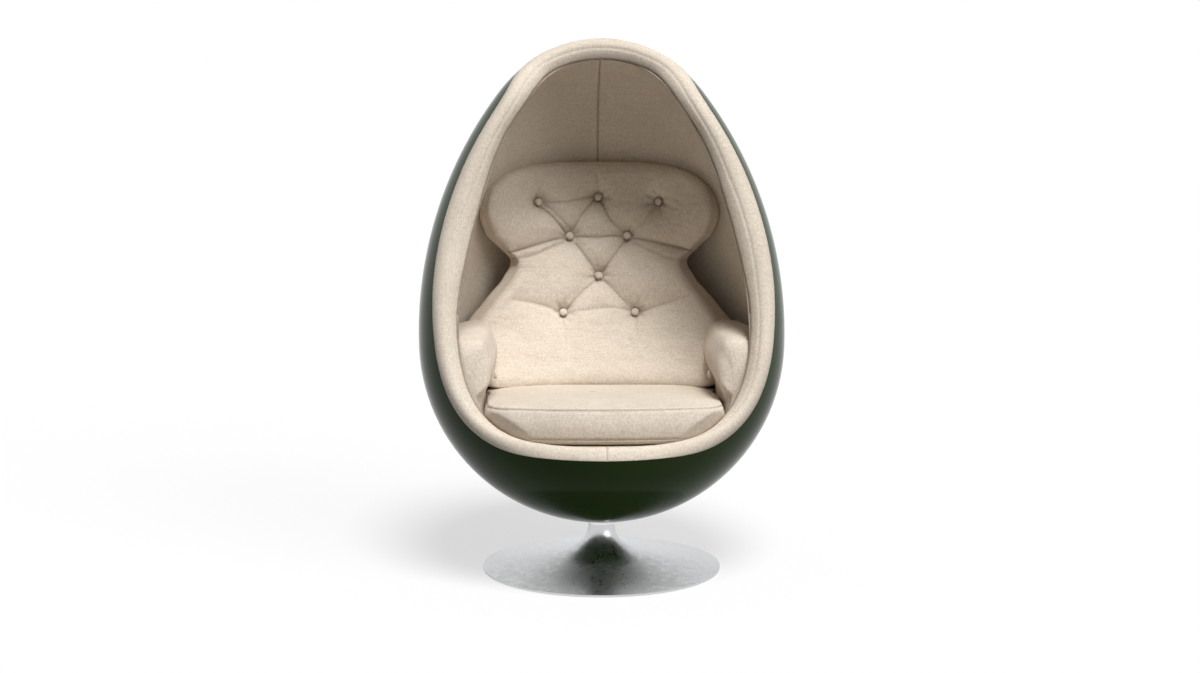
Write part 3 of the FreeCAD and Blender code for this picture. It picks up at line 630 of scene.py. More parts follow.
def lining_halves():
    turns = pod_turns(120)
    shares = np.linspace(0.02, 1.0, LINING_ROWS)
    front = pod_surface(PADDING, 0.0, turns, shares)
    rear = pod_surface(PADDING, -COVER, turns, shares)
    flat = front.reshape(-1, 3)
    away = (rear - front).reshape(-1, 3)
    away = away / np.linalg.norm(away, axis=1)[:, None]
    x = flat[:, 0]
    upper = np.clip((flat[:, 2] - MIDDLE) / 200.0, 0, 1)
    seam = 2.4 * bump(x, 2.6) - 1.3 * bump(x - 9.0, 5.0)
    pucker = 0.8 * np.exp(-x / 16.0) * roughly(flat, (60.0, 60.0, 14.0), 3)
    soft = 1.3 * roughly(flat, (150.0, 150.0, 90.0), 1)
    move = seam + (pucker + soft) * (0.3 + 0.7 * upper) * np.clip(x / 4.0, 0, 1)
    shaped = flat + away * np.clip(move, -2.5, 2.6)[:, None]
    own = 0.6 * roughly(shaped, (90.0, 90.0, 50.0), 8) * np.clip(x / 20.0, 0, 1)
    for side, word in ((-1, "left"), (1, "right")):
        flip = np.array([side, 1, 1])
        near = shaped + away * own[:, None] if side < 0 else shaped
        points, faces = half_shell(near.reshape(front.shape) * flip, rear * flip)
        # Painted shade along the middle seam and on the border rows at the opening's edge.
        painted_shade = 0.8 * bump(np.abs(points[:, 0]), 1.8)
        row = np.arange(len(points)) % len(flat) // len(turns)
        painted_shade = np.maximum(painted_shade, np.clip((row - LINING_ROWS + SHADED_BORDER_ROWS) / 2.0, 0, 1))
        piece = make(f"lining_panel_{word}", points, faces, LINEN, crease=painted_shade)
        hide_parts(f"lining_{word}")


def pod_foam():
    """Foam panels between the shell and the lining, left and right in four bands of height."""
    turns = np.linspace(0.001, math.pi - 0.001, 61)
    shares = np.linspace(0.02, 1.0, 60)
    front = pod_surface(PADDING, -COVER - 0.3, turns, shares)
    rear = pod_surface(SHELL, SHELL_WALL + 0.3, turns, shares)
    height = (front[:-1, :-1, 2] + front[1:, 1:, 2]) / 2
    for word, low, high in zip(PANEL_NAMES, PANEL_JOINTS, PANEL_JOINTS[1:]):
        chosen = (height >= low) & (height < high)
        for side, hand in ((-1, "left"), (1, "right")):
            flip = np.array([side, 1, 1])
            points, faces = patch_solid(front * flip, rear * flip, chosen)
            piece = make(f"foam_pad_{word}_{hand}", points, faces, FOAM_DARKENED_AS_SHADE)
            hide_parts(f"foam_{word}_{hand}")


def patch_solid(front, rear, chosen):
    """A closed slab over the chosen cells of two matching grids."""
    rows, columns = front.shape[:2]
    count = rows * columns
    faces, edges = [], {}
    for i, j in zip(*np.nonzero(chosen)):
        a = int(i * columns + j)
        quad = (a, a + 1, a + columns + 1, a + columns)
        faces.append(quad)
        faces.append(tuple(k + count for k in quad[::-1]))
        for p, q in zip(quad, quad[1:] + quad[:1]):
            if (q, p) in edges:
                del edges[(q, p)]
            else:
                edges[(p, q)] = True
    faces += [(q, p, p + count, q + count) for p, q in edges]
    used = sorted({k for face in faces for k in face})
    place = {k: n for n, k in enumerate(used)}
    points = np.concatenate([front.reshape(-1, 3), rear.reshape(-1, 3)])[used]
    return points, outward(points, [tuple(place[k] for k in face) for face in faces])


lining_halves()
pod_foam()


# ---- Padded roll round the opening ----

ROLL_GAP = 1.3
ROLL_HEIGHT = 25.0


def padding_depth(angle):
    def at(chain):
        for cr, cz, radius, start, end in chain:
            if angle <= end:
                break
        return cr + radius * math.sin(angle), cz - radius * math.cos(angle)

    out_r, out_z = at(SHELL)
    in_r, in_z = at(PADDING)
    return (out_r - in_r) * math.sin(angle) - (out_z - in_z) * math.cos(angle)


def shell_turn(along):
    for cr, cz, radius, start, end in SHELL:
        if along <= cz - radius * math.cos(end):
            return math.acos(max(-1.0, min(1.0, (cz - along) / radius)))
    return math.pi


def roll_frames(count):
    """Even stations up the right-hand side: edge point, inward and forward directions, width, set-off."""
    s, x, _, _ = rim_side(SHELL, 0.0, 900)
    run = np.concatenate([[0.0], np.cumsum(np.hypot(np.diff(x), np.diff(s)))])
    foot_fine = np.array([0.0, 1.5, 3.0, 5.0, 8.0, 12.0, 18.0])
    want = np.concatenate([foot_fine, np.linspace(26.0, run[-1], count)])
    frames = []
    for w in want:
        si, xi = np.interp(w, run, s), np.interp(w, run, x)
        ends = (w - 2.0, w + 2.0)
        dx = np.interp(ends[1], run, x) - np.interp(ends[0], run, x)
        ds = np.interp(ends[1], run, s) - np.interp(ends[0], run, s)
        if w <= 0.5:
            dx, ds = 1.0, 0.0
        if w >= run[-1] - 0.5:
            dx, ds = -1.0, 0.0
        size = math.hypot(dx, ds)
        inward_x, inward_s = ds / size, -dx / size
        oy, oup = (float(v) for v in on_opening(si))
        across, along = to_egg(oy, oup)
        phi = shell_turn(along)
        outer = np.array([xi, oy, oup])
        ny, nup = (float(v) for v in on_opening(si + inward_s))
        step = np.array([inward_x, ny - oy, nup - oup])
        far = max(1e-6, math.hypot(xi, across))
        lx, ly, lz = -math.sin(phi) * xi / far, -math.sin(phi) * across / far, math.cos(phi)
        wy, wz = from_egg(ly, lz)
        square = max(0.6, float(step @ np.array([lx, wy, wz])) / np.linalg.norm(step))
        width = padding_depth(phi) / square
        iy, iup = (float(v) for v in on_opening(si + inward_s * width))
        inner = np.array([xi + inward_x * width, iy, iup])
        e1 = (inner - outer) / np.linalg.norm(inner - outer)
        ay, aup = (float(v) for v in on_opening(si + inward_s * width / 2 + 1))
        by, bup = (float(v) for v in on_opening(si + inward_s * width / 2 - 1))
        front = np.array([0.0, aup - bup, -(ay - by)])
        if front[1] > 0:
            front = -front
        e2 = front - e1 * (front @ e1)
        e2 = e2 / np.linalg.norm(e2)
        back = 0.0
        for k in range(1, 8):
            qy, qup = (float(v) for v in on_opening(si + inward_s * width * k / 8))
            back = max(back, (np.array([xi + inward_x * width * k / 8, qy, qup]) - outer) @ e2)
        frames.append((outer, e1, e2, np.linalg.norm(inner - outer), back + ROLL_GAP, w))
    return frames


def roll_profile(chord):
    """Front of the roll from the shell's edge inwards: one full round pad with a soft crease."""
    start, end = 0.4, chord - 0.4
    t = np.linspace(0, 1, 46)
    t = 0.5 - 0.5 * np.cos(t * math.pi)
    p = start + (end - start) * t
    q = ROLL_HEIGHT * np.sin(math.pi * t ** 0.86) ** 0.62
    crease = start + min(41.0, 0.66 * chord)
    q = q - 1.5 * bump(p - crease, 3.0) * np.clip(q / 6.0, 0, 1)
    back_p = np.linspace(end, start, 9)[1:-1]
    return np.concatenate([p, back_p]), np.concatenate([q, np.zeros(len(back_p))]), len(p)


def rim_roll():
    frames = roll_frames(150)
    sides = [(f, 1) for f in frames] + [(f, -1) for f in frames[1:-1][::-1]]
    rows = []
    for (outer, e1, e2, chord, back, w), side in sides:
        p, q, shown = roll_profile(chord)
        groove = 2.0 * math.exp(-(w / 2.2) ** 2) - 0.8 * math.exp(-((w - 8.0) / 5.0) ** 2)
        lift = q.copy()
        lift[1:shown] -= groove
        spots = outer + e1 * p[:, None] + e2 * (back + lift)[:, None]
        rows.append(spots * np.array([side, 1, 1]) + np.array([0, 0, MIDDLE]))
    count = len(rows[0])
    points = np.concatenate(rows)
    faces = []
    for i in range(len(rows)):
        after = (i + 1) % len(rows)
        for j in range(count):
            k = (j + 1) % count
            faces.append((i * count + j, i * count + k, after * count + k, after * count + j))
    faces = outward(points, faces)
    normal = normals_of(points, faces)
    p, q, shown = roll_profile(60.0)
    place = np.tile(np.arange(count), len(rows))
    free = np.clip(np.minimum(place, shown - 1 - place) / 5.0, 0, 1) * (place < shown)
    soft = 0.9 * roughly(points, 120.0, 5) + 0.5 * roughly(points, 34.0, 6)
    near_seam = bump(place - 40, 5.0)
    pucker = 0.7 * near_seam * roughly(points, 14.0, 7)
    points = points + normal * (free * (soft + pucker))[:, None]
    # Painted shade along the low middle seam and along the roll's inner edge against the lining.
    low_seam_shade = 0.7 * bump(np.abs(points[:, 0]), 1.6) * (points[:, 2] < MIDDLE)
    inner_edge_shade = np.clip((place - shown + 7) / 5.0, 0, 1)
    piece = make("opening_roll", points, faces, LINEN, crease=np.maximum(low_seam_shade, inner_edge_shade))
    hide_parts("rim_roll")


rim_roll()


# ---- Seat cushion ----

def seat_plane(y):
    return MIDDLE - SEAT_DROP - (y + SEAT_FRONT) * math.tan(SEAT_SLOPE)


def seat_outline(count):
    """Plan outline of the seat, evenly spaced, counterclockwise from the front's middle."""
    w, f, b, bow = SEAT_HALF, -SEAT_FRONT, SEAT_BACK, SEAT_BOW
    right = [
        (0.0, f), (0.42 * w, f + bow * 0.20), (0.78 * w, f + bow * 0.75), (0.92 * w, f + bow * 1.22),
        (0.985 * w, f + bow * 2.0), (w, f + bow * 3), (1.008 * w, -60.0), (1.01 * w, b - 126),
        (1.05 * w, b - 72), (0.98 * w, b - 34), (0.76 * w, b - 14), (0.4 * w, b - 4), (0.0, b),
    ]
    left = [(-x, y) for x, y in right[1:-1][::-1]]
    line = right + left + [right[0]]
    dense = spline(line, count=3000)
    run = run_along(dense)
    want = np.linspace(0, run[-1], count + 1)[:-1]
    return np.stack([np.interp(want, run, dense[:, 0]), np.interp(want, run, dense[:, 1])], axis=1)


def seat_cushion():
    count = 320
    plan = seat_outline(count)
    depth = (SEAT_FRONT + SEAT_BACK) / 2
    middle = (SEAT_BACK - SEAT_FRONT) / 2
    low, high = SEAT_LOW_SEAM, SEAT_LOW_SEAM + SEAT_BOXING
    levels = [(SEAT_HALF * k, 0.0) for k in np.linspace(0.96, 0.13, 8)]
    levels += [(29.0, 0.0), (16.0, 2.5), (6.0, 8.0), (2.6, low - 1.5), (3.4, low), (2.0, low + 1.6)]
    for t in np.linspace(0.08, 0.92, 16):
        levels.append((0.6 - 5.6 * math.sin(t * math.pi), low + SEAT_BOXING * t))
    levels += [(2.0, high - 1.8), (3.8, high), (3.0, high + 1.8)]
    for inset in (
        5.0, 8.0, 12.0, 17.0, 23.0, 30.0, 38.0, 48.0, 60.0,
        74.0, 90.0, 108.0, 128.0, 150.0, 174.0, 200.0, 226.0, 250.0,
    ):
        share = min(1.0, inset / 150.0)
        levels.append((inset, high + 3.0 + (SEAT_CROWN - 3.0) * math.sin(share * math.pi / 2) ** 0.72))
    loops = []
    for inset, height in levels:
        sx = 1 - inset / SEAT_HALF
        sy = 1 - inset / depth
        x = plan[:, 0] * sx
        y = middle + (plan[:, 1] - middle) * sy
        loops.append(level_loop(x, y, height))
    points, faces = capped(loops, rings=2)
    faces = outward(points, faces)
    normal = normals_of(points, faces)
    x, y, z = points.T
    front = np.clip((-y - 180.0) / 120.0, 0, 1)
    side = np.clip((z - low) / SEAT_BOXING, 0, 1)
    boxing = np.sin(side * math.pi) * (z < high - 1)
    top = (z >= high)
    move = boxing * front * 1.8 * roughly(points, (58.0, 58.0, 200.0), 11)
    move += boxing * front * 1.0 * roughly(points, (17.0, 17.0, 120.0), 12)
    corner = bump(np.abs(x) - 236.0, 46.0) * np.clip((-y - 190.0) / 60.0, 0, 1)
    move += corner * 2.6 * roughly(points, (9.0, 26.0, 60.0), 13)
    move += top * 1.8 * roughly(points, (140.0, 110.0, 60.0), 14)
    seam = np.abs(z - high)
    move += 0.9 * bump(seam, 6.0) * roughly(points, (11.0, 11.0, 40.0), 15)
    # Painted shade along the top and low seams of the boxing.
    painted_shade = 0.55 * bump(seam, 1.6) + 0.5 * bump(np.abs(z - low), 1.6)
    points = points + normal * move[:, None]
    turn = SEAT_SLOPE
    y, z = points[:, 1] + SEAT_FRONT, points[:, 2].copy()
    points[:, 1] = y * math.cos(turn) + z * math.sin(turn) - SEAT_FRONT
    points[:, 2] = z * math.cos(turn) - y * math.sin(turn) + seat_plane(-SEAT_FRONT) + GAP / 2
    points = into_room(points)
    piece = make("seat_pad", points, faces, LINEN, crease=painted_shade)
    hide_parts("seat_cushion")


seat_cushion()


# ---- Back cushion ----

BACK = np.array(BACK_ROWS)
EDGE_ROUND = 30.0
FOLD_LIMIT = 27.0


def back_values(up):
    """Smooth rows of the back cushion at heights from the middle."""
    rows = []
    for column in range(1, 6):
        rows.append(smooth_through(BACK[:, 0], BACK[:, column], up))
    return rows


def smooth_through(x, y, at):
    """A curve through points that never swings past them."""
    h = np.diff(x)
    slope = np.diff(y) / h
    grade = np.zeros_like(y)
    grade[0], grade[-1] = slope[0], slope[-1]
    same = slope[:-1] * slope[1:] > 0
    w1, w2 = 2 * h[1:] + h[:-1], h[1:] + 2 * h[:-1]
    with np.errstate(divide="ignore", invalid="ignore"):
        mean = (w1 + w2) / (w1 / slope[:-1] + w2 / slope[1:])
    grade[1:-1] = np.where(same, mean, 0.0)
    k = np.clip(np.searchsorted(x, at) - 1, 0, len(x) - 2)
    t = (at - x[k]) / h[k]
    a = 2 * t ** 3 - 3 * t ** 2 + 1
    b = t ** 3 - 2 * t ** 2 + t
    return a * y[k] + b * h[k] * grade[k] + (1 - a) * y[k + 1] + (t ** 3 - t ** 2) * h[k] * grade[k + 1]


# Folds of the back cushion's front: line across and up, depth, width, how much it
# fades to its far end
CREASES = (
    (((-138, 176), (-71, 177), (-8, 188)), 7.0, 9.0, 0.1),
    (((2, 183), (54, 180)), 3.5, 8.0, 0.9),
    (((-138, 170), (-107, 136), (-73, 99)), 10.0, 8.0, 0.0),
    (((-128, 176), (-96, 143), (-62, 108)), 6.0, 7.0, 0.0),
    (((-8, 181), (-39, 147), (-65, 99)), 7.0, 9.0, 0.1),
    (((5, 178), (28, 129), (64, 96)), 7.0, 9.0, 0.1),
    (((137, 168), (109, 124), (75, 99)), 3.5, 10.0, 0.0),
    (((-63, 95), (-3, 89), (62, 93)), 8.0, 8.0, 0.0),
    (((-55, 78), (-29, 37), (-3, 5)), 8.0, 10.0, 0.0),
    (((62, 84), (36, 43), (10, 8)), 7.0, 10.0, 0.0),
    (((-3, -8), (-44, -45), (-80, -82)), 6.0, 11.0, 0.0),
    (((10, -10), (43, -45), (79, -80)), 6.0, 11.0, 0.0),
    (((-78, 90), (-154, 73), (-225, 53)), 13.0, 10.0, -0.4),
    (((-86, 78), (-150, 52), (-222, 34)), 7.0, 8.0, -0.3),
    (((72, 91), (137, 81), (225, 57)), 11.0, 10.0, -0.4),
    (((84, 76), (158, 46), (222, 30)), 5.0, 9.0, -0.3),
    (((-93, -87), (-153, -70), (-210, -55)), 7.0, 10.0, 0.7),
    (((95, -87), (162, -70), (221, -46)), 7.0, 10.0, 0.7),
    (((2, 196), (-2, 240)), 5.0, 8.0, 0.5),
    (((-146, 186), (-150, 226)), 4.0, 8.0, 0.8),
    (((146, 186), (156, 222)), 3.0, 8.0, 0.8),
    (((-75, -86), (-3, -84), (74, -80)), 3.5, 12.0, 0.0),
    (((-88, -100), (-84, -170)), 4.5, 10.0, 0.8),
    (((88, -100), (92, -160)), 3.0, 10.0, 0.8),
    (((-200, 18), (-138, 18)), 4.0, 8.0, 0.8),
    (((150, 172), (205, 160)), 2.5, 9.0, 0.9),
    (((-150, 172), (-214, 168)), 2.5, 9.0, 0.9),
)


def back_fold(x, up):
    """How far the back cushion's front is drawn in at each place, and how much painted shade lies in its
    folds and round its buttons.
    """
    depth = np.zeros_like(x)
    painted_shade = np.zeros_like(x)
    nearest = np.full_like(x, 90.0)
    sway = 3.0 * np.sin(x / 23.0 + up / 31.0)
    for line, deep, width, fade in CREASES:
        far, share = along_line(x + sway * 0.5, up + sway * 0.5, line)
        strength = 1 - fade * share if fade >= 0 else 1 + fade * (1 - share)
        middle = 1 - 0.35 * np.sin(share * math.pi)
        wide = 0.55 * deep * strength * middle * bump(far, 2.2 * width)
        sharp = 1.15 * deep * strength * middle * valley(far, 0.45 * width)
        depth = depth + (wide + sharp) * (1 - np.clip(depth / 26.0, 0, 1))
        # Painted shade along the bottom of each fold.
        painted_shade = np.maximum(painted_shade, np.clip(strength * middle * deep / 9.0, 0, 1) * np.exp(-(far / 2.6) ** 1.5))
        nearest = np.minimum(nearest, far + 60.0 * (1 - np.clip(strength * deep / 6.0, 0, 1)))
    for k, (bx, bup) in enumerate(BACK_BUTTONS):
        r = np.hypot(x - bx, up - bup)
        turn = np.arctan2(up - bup, x - bx)
        nearest = np.minimum(nearest, r)
        dish = 14.0 * bump(r, 13.0) + 9.0 * bump(r, 32.0)
        rays = 2.0 * np.sin(7 * turn + k * 1.7) * bump(r - 20.0, 9.0)
        rays += 1.0 * np.sin(13 * turn + k * 2.9) * bump(r - 14.0, 5.0)
        depth = depth * (1 - 0.75 * bump(r, 12.0)) + dish + rays
        # Painted shade in a ring round each button.
        painted_shade = np.maximum(painted_shade * (r > 9.0), 0.75 * bump(r - 10.0, 2.6))
    swell = 9.0 * (1 - bump(nearest, 34.0))
    return np.minimum(depth, FOLD_LIMIT) - swell, painted_shade


def front_arc(half, advance, edge):
    """Radius of the front's curve in plan, and how far it reaches to each side."""
    reach = half - 0.28 * edge
    return (reach * reach + advance * advance) / (2 * advance), reach


def back_loops(ups):
    half, front, advance, thick, edge = back_values(ups)
    loops = []
    for k, up in enumerate(ups):
        radius, reach = front_arc(half[k], advance[k], edge[k])
        x = np.linspace(-reach, reach, 230)
        y = front[k] - radius + np.sqrt(radius ** 2 - x ** 2)
        near = front[k] - advance[k]
        tuck = half[k] - reach
        t = np.linspace(0, 1, 22)[1:-1]
        side_x = reach + tuck * np.sin(t * math.pi) ** 0.62
        side_y = near + edge[k] * t
        rear_x = np.linspace(reach, -reach, 50)
        rear_mid = front[k] + thick[k]
        rear_side = near + edge[k]
        rear_y = rear_side + (rear_mid - rear_side) * (1 - (rear_x / reach) ** 2)
        loop_x = np.concatenate([x, side_x, rear_x, -side_x[::-1]])
        loop_y = np.concatenate([y, side_y, rear_y, side_y[::-1]])
        loops.append(level_loop(loop_x, loop_y, MIDDLE + up))
    return loops


def back_cushion():
    ups = np.concatenate([
        np.linspace(-257.0, -247.0, 6), np.linspace(-243.0, 255.0, 224), np.linspace(257.0, 270.0, 12),
    ])
    points, faces = capped(back_loops(ups), rings=6, bulge=2.0)
    faces = outward(points, faces)
    normal = normals_of(points, faces)
    x, up = points[:, 0], points[:, 2] - MIDDLE
    half, front, advance, _, edge = back_values(np.clip(up, -257.0, 270.0))
    reach = half - 0.28 * edge
    facing = np.clip(-normal[:, 1] * 2.2 - 0.25, 0, 1)
    rim = np.clip((reach - np.abs(x)) / 26.0, 0, 1) * np.clip((264.0 - up) / 22.0, 0, 1)
    fold, painted_shade = back_fold(x, up)
    border = np.minimum(reach - np.abs(x) + 4.0, (270.0 - up) * 0.8)
    edge_far = 1 - np.clip(border / EDGE_ROUND, 0, 1)
    drop = np.minimum(EDGE_ROUND, 0.7 * edge) * (1 - np.sqrt(1 - edge_far ** 2))
    ahead = np.clip((front - advance + edge - points[:, 1]) / np.maximum(edge, 1.0), 0, 1)
    soft = 2.2 * roughly(points, (70.0, 70.0, 45.0), 21) + 1.0 * roughly(points, (26.0, 26.0, 14.0), 22)
    move = facing * (rim ** 0.6 * (-fold) + soft * rim)
    side = (1 - facing) * 1.0 * roughly(points, (30.0, 60.0, 22.0), 23)
    points = points + normal * (move + side)[:, None]
    points[:, 1] += drop * ahead
    points = into_room(points)
    # The folds' and buttons' painted shade, kept to the faces that look forward.
    piece = make("back_pad", points, faces, LINEN, crease=painted_shade * facing)
    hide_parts("back_cushion")


back_cushion()


# ---- Buttons ----

def front_depth(x, up):
    values = back_values(np.array([float(up)]))
    half, front, advance, _, edge = (float(v[0]) for v in values)
    radius, _ = front_arc(half, advance, edge)
    return front - radius + math.sqrt(radius ** 2 - x ** 2)


def button_at(here, outward_way, seed):
    """A covered button: a domed cap gathered under its edge."""
    profile = (
        (0.5, 4.6), (2.5, 4.5), (4.6, 4.2), (6.4, 3.6), (7.9, 2.7), (8.9, 1.3),
        (9.2, -0.2), (8.8, -1.6), (7.6, -2.8), (4.0, -3.2), (0.6, -3.3),
    )
    axis = Vector(outward_way).normalized()
    turn = Vector((0, 0, 1)).rotation_difference(axis).to_matrix()
    loops = []
    for r, h in profile:
        ring = []
        for k in range(32):
            a = 2 * math.pi * k / 32
            gather = 0.18 * math.sin(11 * a + seed) * max(0.0, (r - 4.0) / 5.0)
            spot = turn @ Vector((r * math.cos(a), r * math.sin(a), h + gather))
            ring.append((here[0] + spot.x, here[1] + spot.y, here[2] + spot.z))
        loops.append(ring)
    return capped(loops, rings=1)


def buttons(name, places, node):
    points, faces, base = [], [], 0
    for k, (here, way) in enumerate(places):
        p, f = button_at(here, way, 1.3 * k)
        f = outward(p - p.mean(0), f)
        points.append(p)
        faces += [tuple(i + base for i in face) for face in f]
        base += len(p)
    piece = make(name, np.concatenate(points), faces, LINEN)
    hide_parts(node)


back_places = []
for bx, bup in BACK_BUTTONS:
    step = 4.0
    right = Vector((2 * step, front_depth(bx + step, bup) - front_depth(bx - step, bup), 0))
    above = Vector((0, front_depth(bx, bup + step) - front_depth(bx, bup - step), 2 * step))
    way = right.cross(above).normalized()
    here = Vector((bx, front_depth(bx, bup), MIDDLE + bup)) - way * 14.0
    back_places.append((here, way))
buttons("back_tuft_buttons", back_places, "back_buttons")


# ---- Arm pads ----

def arm_loop(y0, shrink, lean):
    seat_low = MIDDLE - SEAT_DROP
    top = seat_low + ARM_HEIGHT - shrink
    shelf = seat_low + ARM_SHELF
    inner_low = ARM_LOW + shrink * 0.4
    inner = ARM_INNER + shrink
    crest = ARM_CREST + shrink * 0.3
    low = seat_plane(y0) + GAP
    marks = [
        (inner_low, low), (inner_low + 1, (low + shelf) / 2), (inner_low, shelf),
        (inner_low - 14 - shrink * 0.2, shelf + 24),
        (inner, shelf + 52), (inner + 1, (shelf + top) / 2 + 14), (inner + 9, top - 36),
        (crest - 24 + shrink * 0.3, top - 9), (crest, top),
    ]
    inner_line = spline(marks, count=76)
    tan = math.tan(math.radians(lean))

    def y_at(z):
        return y0 + (z - seat_low) * tan

    def room(z):
        y = y_at(z)
        return np.maximum(egg_half_width(PADDING, y, z - MIDDLE, GAP), 0.0)

    ix = np.minimum(inner_line[:, 0], room(inner_line[:, 1]) - 0.5)
    iz = inner_line[:, 1]
    far = float(room(np.array([top - 8.0]))[0])
    crest = min(crest, far - 1.0)
    t = np.linspace(0, 1, 18)[1:]
    tx = crest + (far - crest) * t
    tz = top - 9.0 * t ** 1.5
    oz = np.linspace(tz[-1], low, 26)[1:]
    ox = room(oz)
    t = np.linspace(0, 1, 10)[1:-1]
    bx = ox[-1] + (ix[0] - ox[-1]) * t
    bz = np.full(len(t), low)
    x = np.concatenate([ix, tx, ox, bx])
    z = np.concatenate([iz, tz, oz, bz])
    return np.stack([x, y_at(z), z], axis=1)


def relaxed(points, faces, rounds):
    """Points eased towards their neighbours, as a stuffed cover evens itself out."""
    pairs = np.array([(f[i], f[(i + 1) % len(f)]) for f in faces for i in range(len(f))])
    joined = np.bincount(pairs[:, 0], minlength=len(points))[:, None]
    for _ in range(rounds):
        total = np.stack([
            np.bincount(pairs[:, 0], points[pairs[:, 1], k], len(points)) for k in range(3)
        ], axis=1)
        points = points + 0.5 * (total / joined - points)
    return points


def arm_pad(side, word):
    stations = (
        (-ARM_FRONT, 34.0, 0.0), (-ARM_FRONT + 4, 22.0, 0.0), (-ARM_FRONT + 10, 13.0, 0.0),
        (-ARM_FRONT + 20, 7.0, 0.0), (-ARM_FRONT + 34, 3.0, 0.0), (-ARM_FRONT + 90, 0.0, ARM_LEAN * 0.4),
        (ARM_BACK - 50, 0.0, ARM_LEAN), (ARM_BACK, 1.0, ARM_LEAN),
    )
    table = np.array(stations)
    places = np.concatenate([
        np.linspace(-ARM_FRONT, -ARM_FRONT + 34, 18), np.linspace(-ARM_FRONT + 38, ARM_BACK, 60),
    ])
    shrinks = np.interp(places, table[:, 0], table[:, 1])
    leans = smooth_through(table[:, 0], table[:, 2], places)
    loops = [arm_loop(*station) for station in zip(places.tolist(), shrinks.tolist(), leans.tolist())]
    points, faces = capped(loops, rings=8, bulge=6.0)
    faces = outward(points, faces)
    points = relaxed(points, faces, 50)
    normal = normals_of(points, faces)
    x, y, z = points.T
    up = z - MIDDLE
    inner = np.clip(-normal[:, 0] * 1.6, 0, 1)
    front = np.clip(-normal[:, 1] * 1.6, 0, 1)
    shown = np.maximum(inner, front)
    along, high = ARM_BUTTON
    r = np.hypot(y - along, up - high)
    turn = np.arctan2(up - high, y - along)
    dish = 3.5 * np.exp(-(r / 14.0) ** 1.4) + 2.0 * bump(r, 40.0)
    rays = 0.5 * np.sin(8 * turn) * bump(r - 15.0, 8.0)
    line = np.zeros_like(x)
    # Painted shade in a ring round the arm button, on the inner face.
    painted_shade = 0.7 * bump(r - 10.0, 2.6) * inner
    for end in ((-150.0, -160.0), (-34.0, -180.0), (-100.0, -130.0)):
        pull, share = along_line(y, up, ((along, high), end))
        line += 1.2 * valley(pull, 6.0) * (1 - share) * inner
    soft = 1.2 * roughly(points, 120.0, 31 + side) + 0.2 * roughly(points, 30.0, 33 + side)
    move = inner * (-dish - rays) - line + shown * (soft + 2.0)
    points = points + normal * move[:, None]
    points = into_room(points)
    points = points * np.array([side, 1, 1])
    turned = faces if side > 0 else [f[::-1] for f in faces]
    piece = make(f"arm_rest_{word}", points, turned, LINEN, crease=painted_shade)
    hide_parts(f"arm_pad_{word}")


arm_pad(-1, "left")
arm_pad(1, "right")
arm_places = []
for side in (1, -1):
    here = Vector((side * (ARM_INNER - 1.0), ARM_BUTTON[0], MIDDLE + ARM_BUTTON[1]))
    arm_places.append((here, Vector((-side, 0, 0))))
buttons("arm_tuft_buttons", arm_places, "arm_buttons")


# ---- Foam under and behind the cushions, felt under the base ----

def seat_foam():
    """Block under the seat: flat on top, round below, with a well for the plate."""
    angles = np.linspace(0, 2 * math.pi, 97)[:-1]
    shares = np.linspace(0, 1, 14)
    well = 127.0
    reach = []
    for a in angles:
        r = np.linspace(well, 420.0, 400)
        y = r * math.sin(a)
        ok = egg_half_width(PADDING, y, seat_plane(y) - MIDDLE - 1.0, GAP) > np.abs(r * math.cos(a))
        ok &= y > -SEAT_FRONT
        reach.append(r[ok].max() if ok.any() else well + 5)
    reach = np.array(reach)
    tops, lows = [], []
    for share in shares:
        r = well + (reach - well) * share
        x, y = r * np.cos(angles), r * np.sin(angles)
        top = seat_plane(y) - 0.3
        lo, hi = np.full(len(r), -560.0), top - MIDDLE
        for _ in range(40):
            mid = (lo + hi) / 2
            out = egg_half_width(PADDING, y, mid, GAP) < np.abs(x)
            lo = np.where(out, mid, lo)
            hi = np.where(out, hi, mid)
        low = np.minimum(hi + MIDDLE, top - 0.5)
        tops.append(np.stack([x, y, top], axis=1))
        lows.append(np.stack([x, y, low], axis=1))
    rows = tops + lows[::-1]
    count = len(angles)
    points = np.concatenate(rows)
    faces = strip_faces(len(rows), count)
    base = (len(rows) - 1) * count
    for j in range(count):
        k = (j + 1) % count
        faces.append((base + j, base + k, k, j))
    piece = make("seat_block_foam", points, outward(points, faces), FOAM_DARKENED_AS_SHADE)
    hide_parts("seat_base_foam")


def back_foam():
    """Wedge behind the back cushion, between it and the lining."""
    rows, ups = [], np.linspace(-349.0, 104.0, 40)
    for up in ups:
        values = back_values(np.array([max(up, -247.0)]))
        half, front, advance, thick, edge = (float(v[0]) for v in values)
        if up < -247:
            half, front, thick, advance, edge = 292.0, 100.0, 90.0, 20.0, 60.0
        reach = half - 18.0
        x = np.linspace(-reach, reach, 44)
        bow = (x / reach) ** 2
        y = front + thick + 1.0 - (front + thick - (front - advance + edge)) * bow
        rear, beyond = np.zeros(len(x)), np.full(len(x), 500.0)
        for _ in range(30):
            mid = (rear + beyond) / 2
            inside = egg_half_width(PADDING, mid, up, GAP) > np.abs(x)
            rear, beyond = np.where(inside, mid, rear), np.where(inside, beyond, mid)
        y = np.minimum(y, rear - 0.5)
        there = np.concatenate([x, x[::-1]]), np.concatenate([y, rear[::-1]])
        rows.append(level_loop(*there, MIDDLE + up))
    points, faces = capped(rows, rings=2)
    piece = make("back_block_foam", points, outward(points, faces), FOAM_DARKENED_AS_SHADE)
    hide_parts("back_base_foam")


